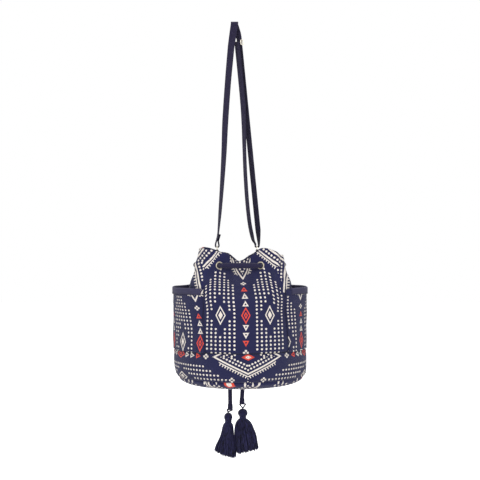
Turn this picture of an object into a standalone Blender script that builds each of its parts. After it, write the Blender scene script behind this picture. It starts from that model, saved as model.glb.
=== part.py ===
"""Crossbody drawstring bucket bag, hanging by its strap.

Metres, +Z up, +X to the wearer's right in the front view, -Y towards the front.
The origin is the underside of the strap's top fold, where the bag hangs.
"""
import math

import bmesh
import bpy
import numpy as np
from mathutils import Vector

# Fits between touching pieces
GAP = 0.0003
SEWN_GAP = 0.0006

# Bag body
AXIS_X = 0.011
CLOTH = 0.0020
RIM_Z = -0.455
RIM_DIP = 0.022
SHOULDER_DROP = 0.012
CORD_Z = -0.484
POCKET_TOP_Z = -0.527
SEAM_Z = -0.649
BASE_SEAM_Z = -0.703
BAND_RADIUS = 0.128
BAND_BULGE = 0.0015
BASE_RADIUS = 0.1225
BASE_SAG = 0.021
NECK_RADIUS = 0.086
RIM_RADIUS = 0.079
SHOULDER_RADIUS = 0.107
LOBE_DEPTH = 0.028
STRAP_PULL = 0.0115
BODY_STEPS = 64

# Pockets
POCKET_TURN = math.radians(4.8)
POCKET_HALF_ANGLE = math.radians(50)
BINDING_HALF_ANGLE = math.radians(44)
POCKET_RADIUS = 0.1325
POCKET_CLOTH = 0.0014
BINDING_HEIGHT = 0.0145
BINDING_CLOTH = 0.0011
POCKET_STEPS = 21

# Eyelets
EYELET_ANGLE = math.radians(25.5)
EYELET_BORE = 0.0050
EYELET_BARREL = 0.0058
EYELET_FLANGE = 0.0077
EYELET_RIM = 0.0011
WASHER_RADIUS = 0.0072
WASHER_THICK = 0.0007
EYELET_STEPS = 16
CUTTER_REACH = 0.006

# Drawstring and its tails
DRAWSTRING_DIAMETER = 0.0092
EXIT_REACH = 0.012
CHORD_SHARES = (0.12, 0.32, 0.68, 0.88)
TAIL_SEGMENTS = 34
TAIL_CLEAR = 0.0012
TAIL_END = {"left": (-0.0099, -0.7848), "right": (0.0153, -0.7727)}
CORD_END_SIZE = (0.0134, 0.0096, 0.0114)

# Tassels
LOOP_RADIUS = 0.0008
LOOP_DROP = {"left": 0.0060, "right": 0.0098}
LOOP_WIDTH = {"left": 0.0052, "right": 0.0110}
HEAD_DIAMETER = {"left": 0.0176, "right": 0.0204}
HEAD_HEIGHT = 0.0155
NECK_DIAMETER = 0.0120
NECK_BINDING = 0.0011
NECK_HEIGHT = 0.0050
SKIRT_LENGTH = 0.0700
SKIRT_WIDTH = {"left": 0.0440, "right": 0.0460}
SKIRT_DEPTH = 0.0340
SKIRT_LEAN = {"left": -0.0100, "right": 0.0090}
SKIRT_SLANT = 0.0075
SKIRT_FLUTES = 9
TASSEL_STEPS = 36

# Strap webbing
WEB_WIDTH = 0.0148
WEB_THICK = 0.0016
PEG_RADIUS = 0.0040
WEB_LOOP = 0.0035
RUN_TURN = math.radians(-48)
RUN_START = Vector((0.0090, 0.0030, -0.0300))
RUN_END = Vector((0.0470, 0.0006, -0.4150))
END_TAB = 0.027
TWIST_STEP = math.radians(5)

# Rings and their tabs
RING_WIRE = 0.0012
RING_HEIGHT = 0.0085
TAB_THICK = 0.0012
TAB_LENGTH = 0.026
TAB_LOOP = 0.0022

# Slider
SLIDER_DROP = 0.0110
SLIDER_HEIGHT = 0.0110
RAIL_WIDTH = 0.0018
BAR_RADIUS = 0.0011
BACK_BAR_RADIUS = 0.0008

# Colours and finishes
NAVY = (0.020, 0.020, 0.090)
STRAP_NAVY = (0.024, 0.020, 0.060)
YARN_NAVY = (0.014, 0.014, 0.045)
CREAM = (0.87, 0.80, 0.73)
CORAL = (0.81, 0.080, 0.048)
PALE_METAL = (0.58, 0.53, 0.40)

# The print's repeat on the flat cloth
REPEAT_ACROSS = 0.102
PRINT_SHIFT = 0.011
PRINT_CENTRE_Z = -0.5765
BAND_PRINT_SHIFT = 0.015
BAND_PRINT_Z = -0.6545

MATERIALS = {}


def material(name, colour, roughness, metallic=0.0):
    """One Principled material, made once and shared by name."""
    if name not in MATERIALS:
        made = bpy.data.materials.new(name)
        made.use_nodes = True
        shader = made.node_tree.nodes["Principled BSDF"]
        shader.inputs["Base Color"].default_value = (*colour, 1.0)
        shader.inputs["Roughness"].default_value = roughness
        shader.inputs["Metallic"].default_value = metallic
        MATERIALS[name] = made
    return MATERIALS[name]


def cotton():
    return material("printed_cotton", NAVY, 0.9)


def print_cream():
    return material("print_cream", CREAM, 0.85)


def print_coral():
    return material("print_coral", CORAL, 0.85)


def webbing():
    return material("strap_webbing", STRAP_NAVY, 0.85)


def yarn():
    return material("tassel_yarn", YARN_NAVY, 0.95)


def braid():
    return material("braided_cord", STRAP_NAVY, 0.9)


def pale_metal():
    return material("pale_metal", PALE_METAL, 0.3, 1.0)


def add_object(name, data, *finishes, parent=None):
    """Link a named object that carries its own material slots."""
    made = bpy.data.objects.new(name, data)
    bpy.context.scene.collection.objects.link(made)
    for finish in finishes:
        data.materials.append(finish)
    if parent is not None:
        made.parent = parent
        made.matrix_parent_inverse = parent.matrix_world.inverted()
    return made


def empty(name, place):
    """An empty that holds a moving piece on its joint's axis."""
    made = bpy.data.objects.new(name, None)
    made.location = place
    bpy.context.scene.collection.objects.link(made)
    bpy.context.view_layer.update()
    return made


def loft(name, rings, finish, closed=False, parent=None, smooth=40):
    """Bridge equal rings of points into one closed body, capped unless it closes on itself."""
    shape = bmesh.new()
    loops = [[shape.verts.new(point) for point in ring] for ring in rings]
    count = len(loops[0])
    pairs = list(zip(loops, loops[1:]))
    if closed:
        pairs.append((loops[-1], loops[0]))
    for first, second in pairs:
        for step in range(count):
            after = (step + 1) % count
            shape.faces.new((first[step], first[after], second[after], second[step]))
    if not closed:
        shape.faces.new(loops[0][::-1])
        shape.faces.new(loops[-1])
    bmesh.ops.recalc_face_normals(shape, faces=shape.faces)
    mesh = bpy.data.meshes.new(name)
    shape.to_mesh(mesh)
    shape.free()
    mesh.shade_smooth()
    mesh.set_sharp_from_angle(angle=math.radians(smooth))
    return add_object(name, mesh, finish, parent=parent)


def tube(name, points, radius, finish, cyclic=False, parent=None, resolution=2):
    """A round cord or wire along a list of points."""
    data = bpy.data.curves.new(name, "CURVE")
    data.dimensions = "3D"
    data.bevel_depth = radius
    data.bevel_resolution = resolution
    data.use_fill_caps = True
    spline = data.splines.new("POLY")
    spline.points.add(len(points) - 1)
    for node, point in zip(spline.points, points):
        node.co = (*point, 1.0)
    spline.use_cyclic_u = cyclic
    spline.use_smooth = True
    return add_object(name, data, finish, parent=parent)


def smooth_route(points, count):
    """Even points along a Catmull-Rom curve through the given points."""
    knots = np.array([tuple(point) for point in points], dtype=float)
    padded = np.vstack([2 * knots[0] - knots[1], knots, 2 * knots[-1] - knots[-2]])
    dense = []
    for first in range(len(knots) - 1):
        before, start, end, after = padded[first:first + 4]
        for share in np.linspace(0.0, 1.0, 24, endpoint=False):
            dense.append(0.5 * (2 * start + (end - before) * share
                                + (2 * before - 5 * start + 4 * end - after) * share ** 2
                                + (3 * start - before - 3 * end + after) * share ** 3))
    dense.append(knots[-1])
    dense = np.array(dense)
    lengths = np.concatenate([[0.0], np.cumsum(np.linalg.norm(np.diff(dense, axis=0), axis=1))])
    marks = np.linspace(0.0, lengths[-1], count)
    return [Vector([np.interp(mark, lengths, dense[:, axis]) for axis in range(3)]) for mark in marks]


def blend(height, low, high):
    """A soft step from 0 at low to 1 at high."""
    share = min(max((height - low) / (high - low), 0.0), 1.0)
    return share * share * (3 - 2 * share)


def core_radius(height):
    """Mean radius of the body cloth at a height."""
    if height >= CORD_Z:
        return NECK_RADIUS + (RIM_RADIUS - NECK_RADIUS) * (height - CORD_Z) / (RIM_Z - CORD_Z)
    if height >= POCKET_TOP_Z:
        return SHOULDER_RADIUS + (NECK_RADIUS - SHOULDER_RADIUS) * blend(height, POCKET_TOP_Z, CORD_Z)
    share = (height - SEAM_Z) / (POCKET_TOP_Z - SEAM_Z)
    return BAND_RADIUS + (SHOULDER_RADIUS - BAND_RADIUS) * max(share, 0.0) ** 1.8


def gather(height):
    """How far the drawn neck has folded: 0 below the pockets' middle, 1 at the cord."""
    return blend(height, POCKET_TOP_Z - 0.45 * (POCKET_TOP_Z - SEAM_Z), CORD_Z + 0.004)


def wall_radius(angle, height):
    """Outer radius of the body: four soft lobes with valleys at front, sides and back."""
    drawn = gather(height)
    turn = math.remainder(angle - math.pi / 2, 2 * math.pi)
    pull = STRAP_PULL * math.exp(-(turn / math.radians(17)) ** 2)
    lobes = LOBE_DEPTH * math.cos(4 * (angle - math.pi / 4))
    return core_radius(height) + drawn * (lobes - pull)


def place(angle, radius, height):
    """World point at an angle round the bag's axis, 0 at the front."""
    return Vector((AXIS_X + radius * math.sin(angle), -radius * math.cos(angle), height))


def rim_height(angle):
    """The rim dips in the front and back valleys and falls away at the right shoulder."""
    turn = math.remainder(angle, math.pi)
    dip = RIM_DIP * math.exp(-(turn / math.radians(24)) ** 2)
    across = wall_radius(angle, CORD_Z) * math.sin(angle)
    return RIM_Z - dip - SHOULDER_DROP * blend(across, 0.5 * NECK_RADIUS, NECK_RADIUS)


def normal_at(angle, height):
    """Outward horizontal normal of the body wall."""
    step = math.radians(0.5)
    run = place(angle + step, wall_radius(angle + step, height), height)
    run = run - place(angle - step, wall_radius(angle - step, height), height)
    return Vector((run.y, -run.x, 0.0)).normalized()


def wall_section(angle, heights):
    """Closed section of the body cloth at one angle: outer skin down, inner skin up."""
    outer = [place(angle, wall_radius(angle, height), height) for height in heights]
    inner = []
    for height in reversed(heights):
        inner.append(place(angle, wall_radius(angle, height), height) - CLOTH * normal_at(angle, height))
    return outer + inner


def wall_heights(angle):
    """Levels of the body cloth, closer together where it is gathered."""
    top = rim_height(angle)
    upper = [top, top + 0.45 * (CORD_Z - top)]
    lower = [CORD_Z + (SEAM_Z - CORD_Z) * share for share in (0.0, 0.10, 0.20, 0.34, 0.49, 0.65, 0.82, 1.0)]
    return upper + lower


def turns(count):
    return [2 * math.pi * step / count for step in range(count)]


def flare_tool(name, where, along):
    """Cutter for one eyelet's seat: its barrel, flange and washer with clearance."""
    reach = CLOTH / 2
    profile = [(WASHER_RADIUS + GAP, -CUTTER_REACH), (WASHER_RADIUS + GAP, -reach - 0.0001),
               (EYELET_BARREL + GAP, -reach), (EYELET_BARREL + GAP, reach),
               (EYELET_FLANGE + GAP, reach + 0.0001), (EYELET_FLANGE + GAP, CUTTER_REACH)]
    columns = turned_rings(profile, where, along)
    circles = [[column[level] for column in columns] for level in range(len(profile))]
    tool = loft(name, circles, pale_metal())
    tool.hide_render = True
    tool.display_type = "WIRE"
    return tool


def turned_rings(profile, where, along):
    """Sections of a profile, (radius, height along the axis), turned about an axis."""
    along = along.normalized()
    across = along.cross(Vector((0, 0, 1))).normalized()
    upward = across.cross(along).normalized()
    rings = []
    for turn in turns(EYELET_STEPS):
        spoke = across * math.cos(turn) + upward * math.sin(turn)
        rings.append([where + spoke * radius + along * height for radius, height in profile])
    return rings


def eyelet_angles():
    """The eight eyelets: two beside each valley, named by place."""
    quarter = math.pi / 2
    return {
        "front_left": -EYELET_ANGLE, "front_right": EYELET_ANGLE,
        "side_right_front": quarter - EYELET_ANGLE, "side_right_back": quarter + EYELET_ANGLE,
        "back_right": math.pi - EYELET_ANGLE, "back_left": math.pi + EYELET_ANGLE,
        "side_left_back": -quarter - EYELET_ANGLE, "side_left_front": -quarter + EYELET_ANGLE,
    }


def eyelet_seat(angle):
    """Mid-cloth centre and outward direction of an eyelet."""
    along = normal_at(angle, CORD_Z)
    where = place(angle, wall_radius(angle, CORD_Z), CORD_Z) - along * CLOTH / 2
    return where, along


def make_eyelets():
    """Flanged eyelets and their washers, one pair in each hole."""
    reach = CLOTH / 2
    for name, angle in eyelet_angles().items():
        where, along = eyelet_seat(angle)
        top = reach + EYELET_RIM
        spool = [(EYELET_BORE, -reach - WASHER_THICK - GAP), (EYELET_BARREL, -reach - WASHER_THICK - GAP),
                 (EYELET_BARREL, reach + GAP), (EYELET_FLANGE, reach + GAP),
                 (EYELET_FLANGE - 0.0003, reach + 0.65 * EYELET_RIM), (0.5 * (EYELET_BORE + EYELET_FLANGE), top),
                 (EYELET_BORE + 0.0004, top - 0.0003)]
        loft(f"eyelet_{name}", turned_rings(spool, where, along), pale_metal(), closed=True)
        washer = [(EYELET_BARREL + GAP, -reach - GAP), (EYELET_BARREL + GAP, -reach - WASHER_THICK),
                  (WASHER_RADIUS, -reach - WASHER_THICK), (WASHER_RADIUS, -reach - GAP)]
        loft(f"washer_{name}", turned_rings(washer, where, along), pale_metal(), closed=True)


def make_body_wall():
    """The gathered upper body of printed cotton with its eyelet holes."""
    rings = [wall_section(angle, wall_heights(angle)) for angle in turns(BODY_STEPS)]
    wall = loft("body_wall", rings, cotton(), closed=True)
    for name, angle in eyelet_angles().items():
        where, along = eyelet_seat(angle)
        cut = wall.modifiers.new(f"hole_{name}", "BOOLEAN")
        cut.operation = "DIFFERENCE"
        cut.object = flare_tool(f"cutter_{name}", where, along)
    return wall


def make_lower_band():
    """The band of the same cloth turned sideways, between the two lower seams."""
    heights = np.linspace(SEAM_Z - GAP, BASE_SEAM_Z, 6)
    radii = []
    for height in heights:
        share = (SEAM_Z - height) / (SEAM_Z - BASE_SEAM_Z)
        swell = BAND_BULGE * math.sin(math.pi * share)
        radii.append(BAND_RADIUS + (BASE_RADIUS - BAND_RADIUS) * share ** 3 + swell)
    rings = []
    for angle in turns(BODY_STEPS):
        outer = [place(angle, radius, height) for radius, height in zip(radii, heights)]
        inner = [place(angle, radius - CLOTH, height) for radius, height in zip(radii[::-1], heights[::-1])]
        rings.append(outer + inner)
    return loft("lower_band", rings, cotton(), closed=True)


def make_base_panel():
    """The soft base, sagging below its seam."""
    top = BASE_SEAM_Z - GAP
    shares = (0.08, 0.4, 0.68, 0.86, 0.95, 1.0)
    rings = []
    for share in shares:
        drop = BASE_SAG * (1 - share ** 6) ** 0.55
        rings.append([place(angle, (BASE_RADIUS - CLOTH) * share, top - drop + CLOTH * min(1, 8 * (1 - share)))
                      for angle in turns(BODY_STEPS)])
    for share in reversed(shares):
        drop = BASE_SAG * (1 - share ** 6) ** 0.55
        rings.append([place(angle, BASE_RADIUS * share, top - drop) for angle in turns(BODY_STEPS)])
    return loft("base_panel", rings, cotton())


def pocket_radius(angle, turn, height):
    """Inner radius of a side pocket: on the wall at its side seams, proud of it between."""
    seat = wall_radius(angle, height) + SEWN_GAP
    share = abs(turn) / POCKET_HALF_ANGLE
    fullness = (1 - share ** 4) * blend(height, SEAM_Z, SEAM_Z + 0.020)
    return seat + max(POCKET_RADIUS - POCKET_CLOTH - seat, 0.0) * fullness


def pocket_skin(side, turn, height, out):
    """Point of a side pocket's cloth, the bag being turned a little under its pockets."""
    angle = side * math.pi / 2 + POCKET_TURN + turn
    return place(angle, pocket_radius(angle, turn, height) + out, height)


def make_pocket(name, side):
    """A patch pocket standing away from the narrowed neck."""
    top = POCKET_TOP_Z - BINDING_CLOTH - GAP
    heights = np.linspace(top, SEAM_Z + GAP, 8)
    rings = []
    for turn in np.linspace(-POCKET_HALF_ANGLE, POCKET_HALF_ANGLE, POCKET_STEPS):
        outer = [pocket_skin(side, turn, height, POCKET_CLOTH) for height in heights]
        inner = [pocket_skin(side, turn, height, 0.0) for height in heights[::-1]]
        rings.append(outer + inner)
    return loft(name, rings, cotton())


def make_binding(name, side):
    """Plain navy binding folded over a pocket's top edge."""
    low = POCKET_TOP_Z - BINDING_HEIGHT
    fold = POCKET_TOP_Z - BINDING_CLOTH
    near = -SEWN_GAP
    far = POCKET_CLOTH + SEWN_GAP
    profile = [(far, low), (far + BINDING_CLOTH, low), (far + BINDING_CLOTH, fold + 0.4 * BINDING_CLOTH),
               (0.5 * (near + far), POCKET_TOP_Z), (near - BINDING_CLOTH, fold + 0.4 * BINDING_CLOTH),
               (near - BINDING_CLOTH, low), (near, low), (near, fold), (far, fold)]
    rings = []
    for turn in np.linspace(-BINDING_HALF_ANGLE, BINDING_HALF_ANGLE, POCKET_STEPS):
        rings.append([pocket_skin(side, turn, height, out) for out, height in profile])
    return loft(name, rings, webbing())


def cord_through(angle, inward):
    """Three points that carry the cord through one eyelet, outside first or inside first."""
    where, along = eyelet_seat(angle)
    reach = EXIT_REACH * 0.62
    trio = [where + along * reach, where, where - along * reach]
    return trio if inward else trio[::-1]


def drawstring_route():
    """In at each eyelet and out at the next, from one back eyelet round the front to the other."""
    angles = eyelet_angles()
    order = ["back_left", "side_left_back", "side_left_front", "front_left",
             "front_right", "side_right_front", "side_right_back", "back_right"]
    points = []
    for step, name in enumerate(order):
        trio = cord_through(angles[name], inward=step % 2 == 0)
        if points:
            points += [points[-1].lerp(trio[0], share) for share in CHORD_SHARES]
        points += trio
    for step, name in ((0, "back_left"), (-1, "back_right")):
        where, along = eyelet_seat(angles[name])
        points[step] = where + along * EXIT_REACH
    return points


def make_drawstring():
    """The held length of the drawstring, threaded through all the eyelets."""
    return tube("drawstring", smooth_route(drawstring_route(), 78), DRAWSTRING_DIAMETER / 2, braid())


def back_clear(height):
    """How far behind the axis a tail lies on the body at a height."""
    thick = DRAWSTRING_DIAMETER / 2 + TAIL_CLEAR
    if height < SEAM_Z:
        return BAND_RADIUS + BAND_BULGE + thick + SEWN_GAP
    return wall_radius(math.pi, height) + thick


def tail_route(side):
    """From its eyelet a tail turns down, lies over the full back and hangs straight."""
    where, along = eyelet_seat(eyelet_angles()[f"back_{side}"])
    end_x, end_z = TAIL_END[side]
    start = where + along * (EXIT_REACH + SEWN_GAP)
    straight = start + along * 0.010
    bend = straight + along * 0.008 + Vector((0, 0, -0.004))
    drop = straight + along * 0.014 + Vector((0, 0, -0.020))
    points = [start, straight, bend, drop]
    for height in (-0.545, -0.590, -0.640, -0.680, -0.730):
        share = (height - drop.z) / (end_z - drop.z)
        across = drop.x + (end_x - drop.x) * share ** 0.8
        points.append(Vector((across, back_clear(height) + 0.002, height)))
    points.append(Vector((end_x, back_clear(-0.700) + 0.002, end_z + GAP)))
    return points


def make_tail(side):
    route = smooth_route(tail_route(side), TAIL_SEGMENTS)
    return tube(f"drawstring_tail_{side}", route, DRAWSTRING_DIAMETER / 2, braid())


def tail_end_y():
    return back_clear(-0.700) + 0.002


def make_cord_end(side):
    """The folded and sewn end of a tail."""
    end_x, end_z = TAIL_END[side]
    wide, deep, tall = CORD_END_SIZE
    rings = []
    for share in (0.0, 0.12, 0.4, 0.7, 0.9, 1.0):
        size = math.sqrt(max(1 - (1.7 * abs(share - 0.5)) ** 4 * 0.8, 0.15))
        rings.append([Vector((end_x + 0.5 * wide * size * math.cos(turn),
                              tail_end_y() + 0.5 * deep * size * math.sin(turn), end_z - tall * share))
                      for turn in turns(16)])
    return loft(f"cord_end_{side}", rings, braid())


def pivot_place(side):
    """Top of the thread loop, where a tassel swings."""
    end_x, end_z = TAIL_END[side]
    return Vector((end_x + 0.0012 * (1 if side == "right" else -1), tail_end_y(),
                   end_z - CORD_END_SIZE[2] - GAP - LOOP_RADIUS))


def make_tassel(side):
    """Thread loop, yarn bundle with its head and skirt, and the wrapped neck, on one swing axis."""
    top = pivot_place(side)
    axis = empty(f"tassel_{side}_axis", top)
    drop, wide = LOOP_DROP[side], LOOP_WIDTH[side]
    loop = [top + Vector((0.5 * wide * math.sin(turn), 0.0, -0.5 * drop * (1 - math.cos(turn))))
            for turn in turns(14)]
    tube(f"tassel_loop_{side}", loop, LOOP_RADIUS, yarn(), cyclic=True, parent=axis, resolution=1)
    head_top = top.z - drop - LOOP_RADIUS - GAP
    neck_z = head_top - HEAD_HEIGHT
    head = HEAD_DIAMETER[side] / 2
    neck = NECK_DIAMETER / 2
    sections = [(head_top, 0.45 * head, 0), (head_top - 0.0016, 0.78 * head, 0),
                (head_top - 0.0050, head, 0), (head_top - 0.0105, 0.95 * head, 0),
                (neck_z, neck, 0), (neck_z - NECK_HEIGHT, neck, 0)]
    skirt_top = neck_z - NECK_HEIGHT
    for share in (0.06, 0.2, 0.45, 0.75, 1.0):
        width = neck + (SKIRT_WIDTH[side] / 2 - neck) * math.sin(0.5 * math.pi * share) ** 0.8
        sections.append((skirt_top - SKIRT_LENGTH * share, width, share))
    rings = []
    for height, width, share in sections:
        deep = width + (SKIRT_DEPTH / 2 / (SKIRT_WIDTH[side] / 2) - 1) * width * share
        ring = []
        for turn in turns(TASSEL_STEPS):
            flute = 1 - 0.06 * min(4 * share, 1) * (1 + math.cos(SKIRT_FLUTES * turn)) / 2
            slant = -SKIRT_SLANT * share ** 3 * math.cos(turn)
            ring.append(Vector((top.x + SKIRT_LEAN[side] * share + width * flute * math.cos(turn),
                                top.y + deep * flute * math.sin(turn), height + slant)))
        rings.append(ring)
    loft(f"tassel_yarn_{side}", rings, yarn(), parent=axis)
    wrap_in = neck + GAP
    wrap_out = wrap_in + NECK_BINDING
    wrap = [(wrap_in, neck_z - GAP - 0.0006), (wrap_out, neck_z - 0.0012),
            (wrap_out, neck_z - NECK_HEIGHT + 0.0012), (wrap_in, neck_z - NECK_HEIGHT + 0.0006)]
    hoop = [[Vector((top.x + radius * math.cos(turn), top.y + radius * math.sin(turn), height))
             for radius, height in wrap] for turn in turns(20)]
    loft(f"tassel_binding_{side}", hoop, yarn(), closed=True, parent=axis)


def ribbon(name, stations, width, thick, finish, parent=None):
    """Flat webbing along (centre, width direction) stations, thickness square to both."""
    centres = [station[0] for station in stations]
    rings = []
    for step, (centre, across) in enumerate(stations):
        ahead = centres[min(step + 1, len(centres) - 1)] - centres[max(step - 1, 0)]
        across = (across - ahead * across.dot(ahead) / ahead.length_squared).normalized()
        face = ahead.cross(across).normalized()
        half, depth = across * width / 2, face * thick / 2
        rings.append([centre - half - depth, centre + half - depth, centre + half + depth,
                      centre - half + depth])
    return loft(name, rings, finish, parent=parent)


def heading(turn):
    """Width direction of webbing turned about the vertical from the front view's X."""
    return Vector((math.cos(turn), math.sin(turn), 0.0))


def ring_centre_x(side):
    """Where the strap's ring hangs: inside the side valley of the rim."""
    valley = wall_radius(side * math.pi / 2, rim_height(side * math.pi / 2))
    return AXIS_X + side * (valley - CLOTH - SEWN_GAP - TAB_THICK / 2 - TAB_LOOP)


def ring_bar_z():
    """Height of a ring's top bar, so that its lower bar lies level with the rim."""
    return RIM_Z + RING_HEIGHT - 0.0012


def fold_centre_z():
    """Centre of the webbing's fold under a ring's bar, which rests in the fold."""
    return ring_bar_z() + WEB_LOOP - WEB_THICK / 2 - RING_WIRE - GAP


def ring_fold(side):
    """Webbing stations round a ring's bar, from the inner leg down and up the outer leg."""
    centre = Vector((ring_centre_x(side), 0.0, fold_centre_z()))
    stations = []
    for turn in np.linspace(0.0, math.pi, 9):
        spot = centre + Vector((-side * WEB_LOOP * math.cos(turn), 0.0, -WEB_LOOP * math.sin(turn)))
        stations.append((spot, heading(-math.pi / 2)))
    return stations


LEFT_ARM = [
    (-0.0325, -0.0008, -0.4210, -80), (-0.0292, -0.0018, -0.3830, -67), (-0.0248, -0.0030, -0.3230, -57),
    (-0.0210, -0.0040, -0.2610, -46), (-0.0184, -0.0046, -0.1990, -36), (-0.0130, -0.0050, -0.1200, -34),
    (-0.0066, -0.0050, -0.0480, -24),
]


def left_stations():
    """End tab, fold round the left ring, and the left arm up to the peg."""
    ring_x = ring_centre_x(-1)
    tab = [(Vector((ring_x + WEB_LOOP + shift, 0.0, fold_centre_z() + rise)), heading(-math.pi / 2))
           for rise, shift in ((END_TAB, -0.0020), (0.018, -0.0008), (0.010, 0.0))]
    arm = [(Vector((ring_x - WEB_LOOP, 0.0, fold_centre_z() + 0.010)), heading(-math.pi / 2))]
    arm.append((Vector((ring_x - 0.0010, -0.0003, fold_centre_z() + 0.020)), heading(math.radians(-86))))
    rows = LEFT_ARM
    knots = smooth_route([row[:3] for row in rows], 3 * len(rows))
    heights = [row[2] for row in rows]
    for knot in knots:
        arm.append((knot, heading(math.radians(np.interp(knot.z, heights, [row[3] for row in rows])))))
    return tab + ring_fold(-1) + arm


def peg_stations():
    """Half turn over the peg, the underside of the webbing at the origin."""
    radius = PEG_RADIUS + WEB_THICK / 2
    return [(Vector((0.0, -radius * math.cos(turn), -PEG_RADIUS + radius * math.sin(turn))), heading(0.0))
            for turn in np.linspace(0.0, math.pi, 13)]


def run_direction():
    return (RUN_END - RUN_START).normalized()


def run_across():
    """Width direction of the webbing along its straight right run."""
    along = run_direction()
    across = heading(RUN_TURN)
    return (across - along * across.dot(along)).normalized()


def run_front():
    """Front normal of the straight run, the side that the return lies on."""
    front = run_direction().cross(run_across())
    return front if front.y < 0 else -front


def right_stations():
    """Behind the peg, down the straight run and round the right ring."""
    ring_x = ring_centre_x(1)
    stations = [(Vector((0.0035, PEG_RADIUS + WEB_THICK / 2, -0.0140)), heading(math.radians(-16)))]
    stations.append((Vector((0.0070, 0.0040, -0.0230)), heading(math.radians(-36))))
    for share in np.linspace(0.0, 1.0, 8):
        stations.append((RUN_START.lerp(RUN_END, share), heading(RUN_TURN)))
    stations.append((Vector((ring_x + WEB_LOOP - 0.0008, 0.0002, -0.4270)), heading(math.radians(-64))))
    stations.append((Vector((ring_x + WEB_LOOP, 0.0, fold_centre_z() + 0.006)), heading(-math.pi / 2)))
    stations += ring_fold(1)[::-1]
    stations.append((Vector((ring_x - WEB_LOOP, 0.0, return_foot_z() - GAP)), heading(-math.pi / 2)))
    return stations


def return_foot_z():
    """Where the return starts, just above its fold on the right ring."""
    return fold_centre_z() + 0.009


def eased_stations(stations):
    """The stations, with more of them wherever the webbing twists fast."""
    eased = [stations[0]]
    for (start, across), (end, turned) in zip(stations, stations[1:]):
        parts = max(1, math.ceil(across.angle(turned) / TWIST_STEP))
        for part in range(1, parts + 1):
            share = part / parts
            eased.append((start.lerp(end, share), across.lerp(turned, share).normalized()))
    return eased


def make_strap():
    """The main run of the webbing, from its left end over the peg to the right ring."""
    stations = eased_stations(left_stations() + peg_stations() + right_stations())
    return ribbon("strap", stations, WEB_WIDTH, WEB_THICK, webbing())


def slider_centre():
    return RUN_START + run_direction() * SLIDER_DROP


def bar_offset():
    """Distance of the slider's middle bar in front of the webbing's centre."""
    return WEB_THICK / 2 + 1.5 * GAP + WEB_THICK + GAP + BAR_RADIUS


def make_strap_return():
    """The webbing's return from the ring, its end sewn round the slider's middle bar."""
    along, across, front = run_direction(), run_across(), run_front()
    length = (RUN_END - RUN_START).length
    foot = Vector((ring_centre_x(1) - WEB_LOOP, 0.0, return_foot_z()))
    fold = BAR_RADIUS + GAP + WEB_THICK / 2
    hang = bar_offset() + fold
    slack = [(0.975, 0.0150), (0.92, 0.0185), (0.83, 0.0205), (0.70, 0.0185), (0.58, 0.0145),
             (0.46, 0.0095), (0.34, 0.0066), (0.20, hang), (0.08, hang)]
    knots = [foot + Vector((0, 0, rise)) for rise in (0.005, 0.009)]
    for share, offset in slack:
        knots.append(RUN_START + along * length * share + front * offset)
    stations = [(foot + Vector((0, 0, rise)), heading(-math.pi / 2)) for rise in (0.0, 0.0025)]
    for spot in smooth_route(knots, 30):
        turn = np.interp(spot.z, [foot.z, foot.z + 0.045], [-math.pi / 2, RUN_TURN])
        stations.append((spot, heading(turn)))
    bar = slider_centre() + front * bar_offset()
    for turn in np.linspace(0.0, math.pi, 9):
        spot = bar + front * fold * math.cos(turn) - along * fold * math.sin(turn)
        stations.append((spot, across))
    stations.append((bar - front * fold + along * 0.008, across))
    stations.append((bar - front * fold + along * 0.016, across))
    return ribbon("strap_return", stations, WEB_WIDTH, WEB_THICK, webbing())


def bar_body(name, centre, axis, length, radius, finish, hidden=True, parent=None):
    """A round bar along an axis."""
    side = axis.orthogonal().normalized()
    other = axis.cross(side).normalized()
    rings = []
    for end in (-0.5, 0.5):
        rings.append([centre + axis * length * end + (side * math.cos(turn) + other * math.sin(turn)) * radius
                      for turn in turns(12)])
    made = loft(name, rings, finish, parent=parent)
    if hidden:
        made.hide_render = True
        made.display_type = "WIRE"
    return made


def block(name, low, high, frame, origin, finish, hidden=True, parent=None):
    """A straight block between two corners in a slanted frame."""
    def corner(first, second, third):
        return origin + frame[0] * first + frame[1] * second + frame[2] * third
    rings = []
    for third in (low[2], high[2]):
        rings.append([corner(low[0], low[1], third), corner(high[0], low[1], third),
                      corner(high[0], high[1], third), corner(low[0], high[1], third)])
    made = loft(name, rings, finish, parent=parent)
    if hidden:
        made.hide_render = True
        made.display_type = "WIRE"
    return made


def make_slider():
    """Cast slider: two side rails, a middle bar in front and two thin bars behind the webbing."""
    along, across, front = run_direction(), run_across(), run_front()
    centre = slider_centre()
    axis = empty("slider_axis", centre)
    frame = (across, front, along)
    reach = WEB_WIDTH / 2 + 2 * GAP
    back = -(WEB_THICK / 2 + GAP + 2 * BACK_BAR_RADIUS)
    fore = bar_offset() + BAR_RADIUS
    half = SLIDER_HEIGHT / 2
    slider = block("slider", (reach, back, -half), (reach + RAIL_WIDTH, fore, half), frame, centre,
                   pale_metal(), hidden=False, parent=axis)
    pieces = [block("slider_rail_left", (-reach - RAIL_WIDTH, back, -half), (-reach, fore, half), frame,
                    centre, pale_metal(), parent=axis)]
    length = 2 * reach + RAIL_WIDTH
    pieces.append(bar_body("slider_middle_bar", centre + front * bar_offset(), across, length, BAR_RADIUS,
                           pale_metal(), parent=axis))
    for name, sign in (("upper", -1), ("lower", 1)):
        spot = centre + front * (back + BACK_BAR_RADIUS) + along * sign * (half - 2 * BACK_BAR_RADIUS)
        pieces.append(bar_body(f"slider_{name}_bar", spot, across, length, 0.95 * BACK_BAR_RADIUS,
                               pale_metal(), parent=axis))
    for piece in pieces:
        union = slider.modifiers.new(piece.name, "BOOLEAN")
        union.operation = "UNION"
        union.object = piece
    return slider


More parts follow.
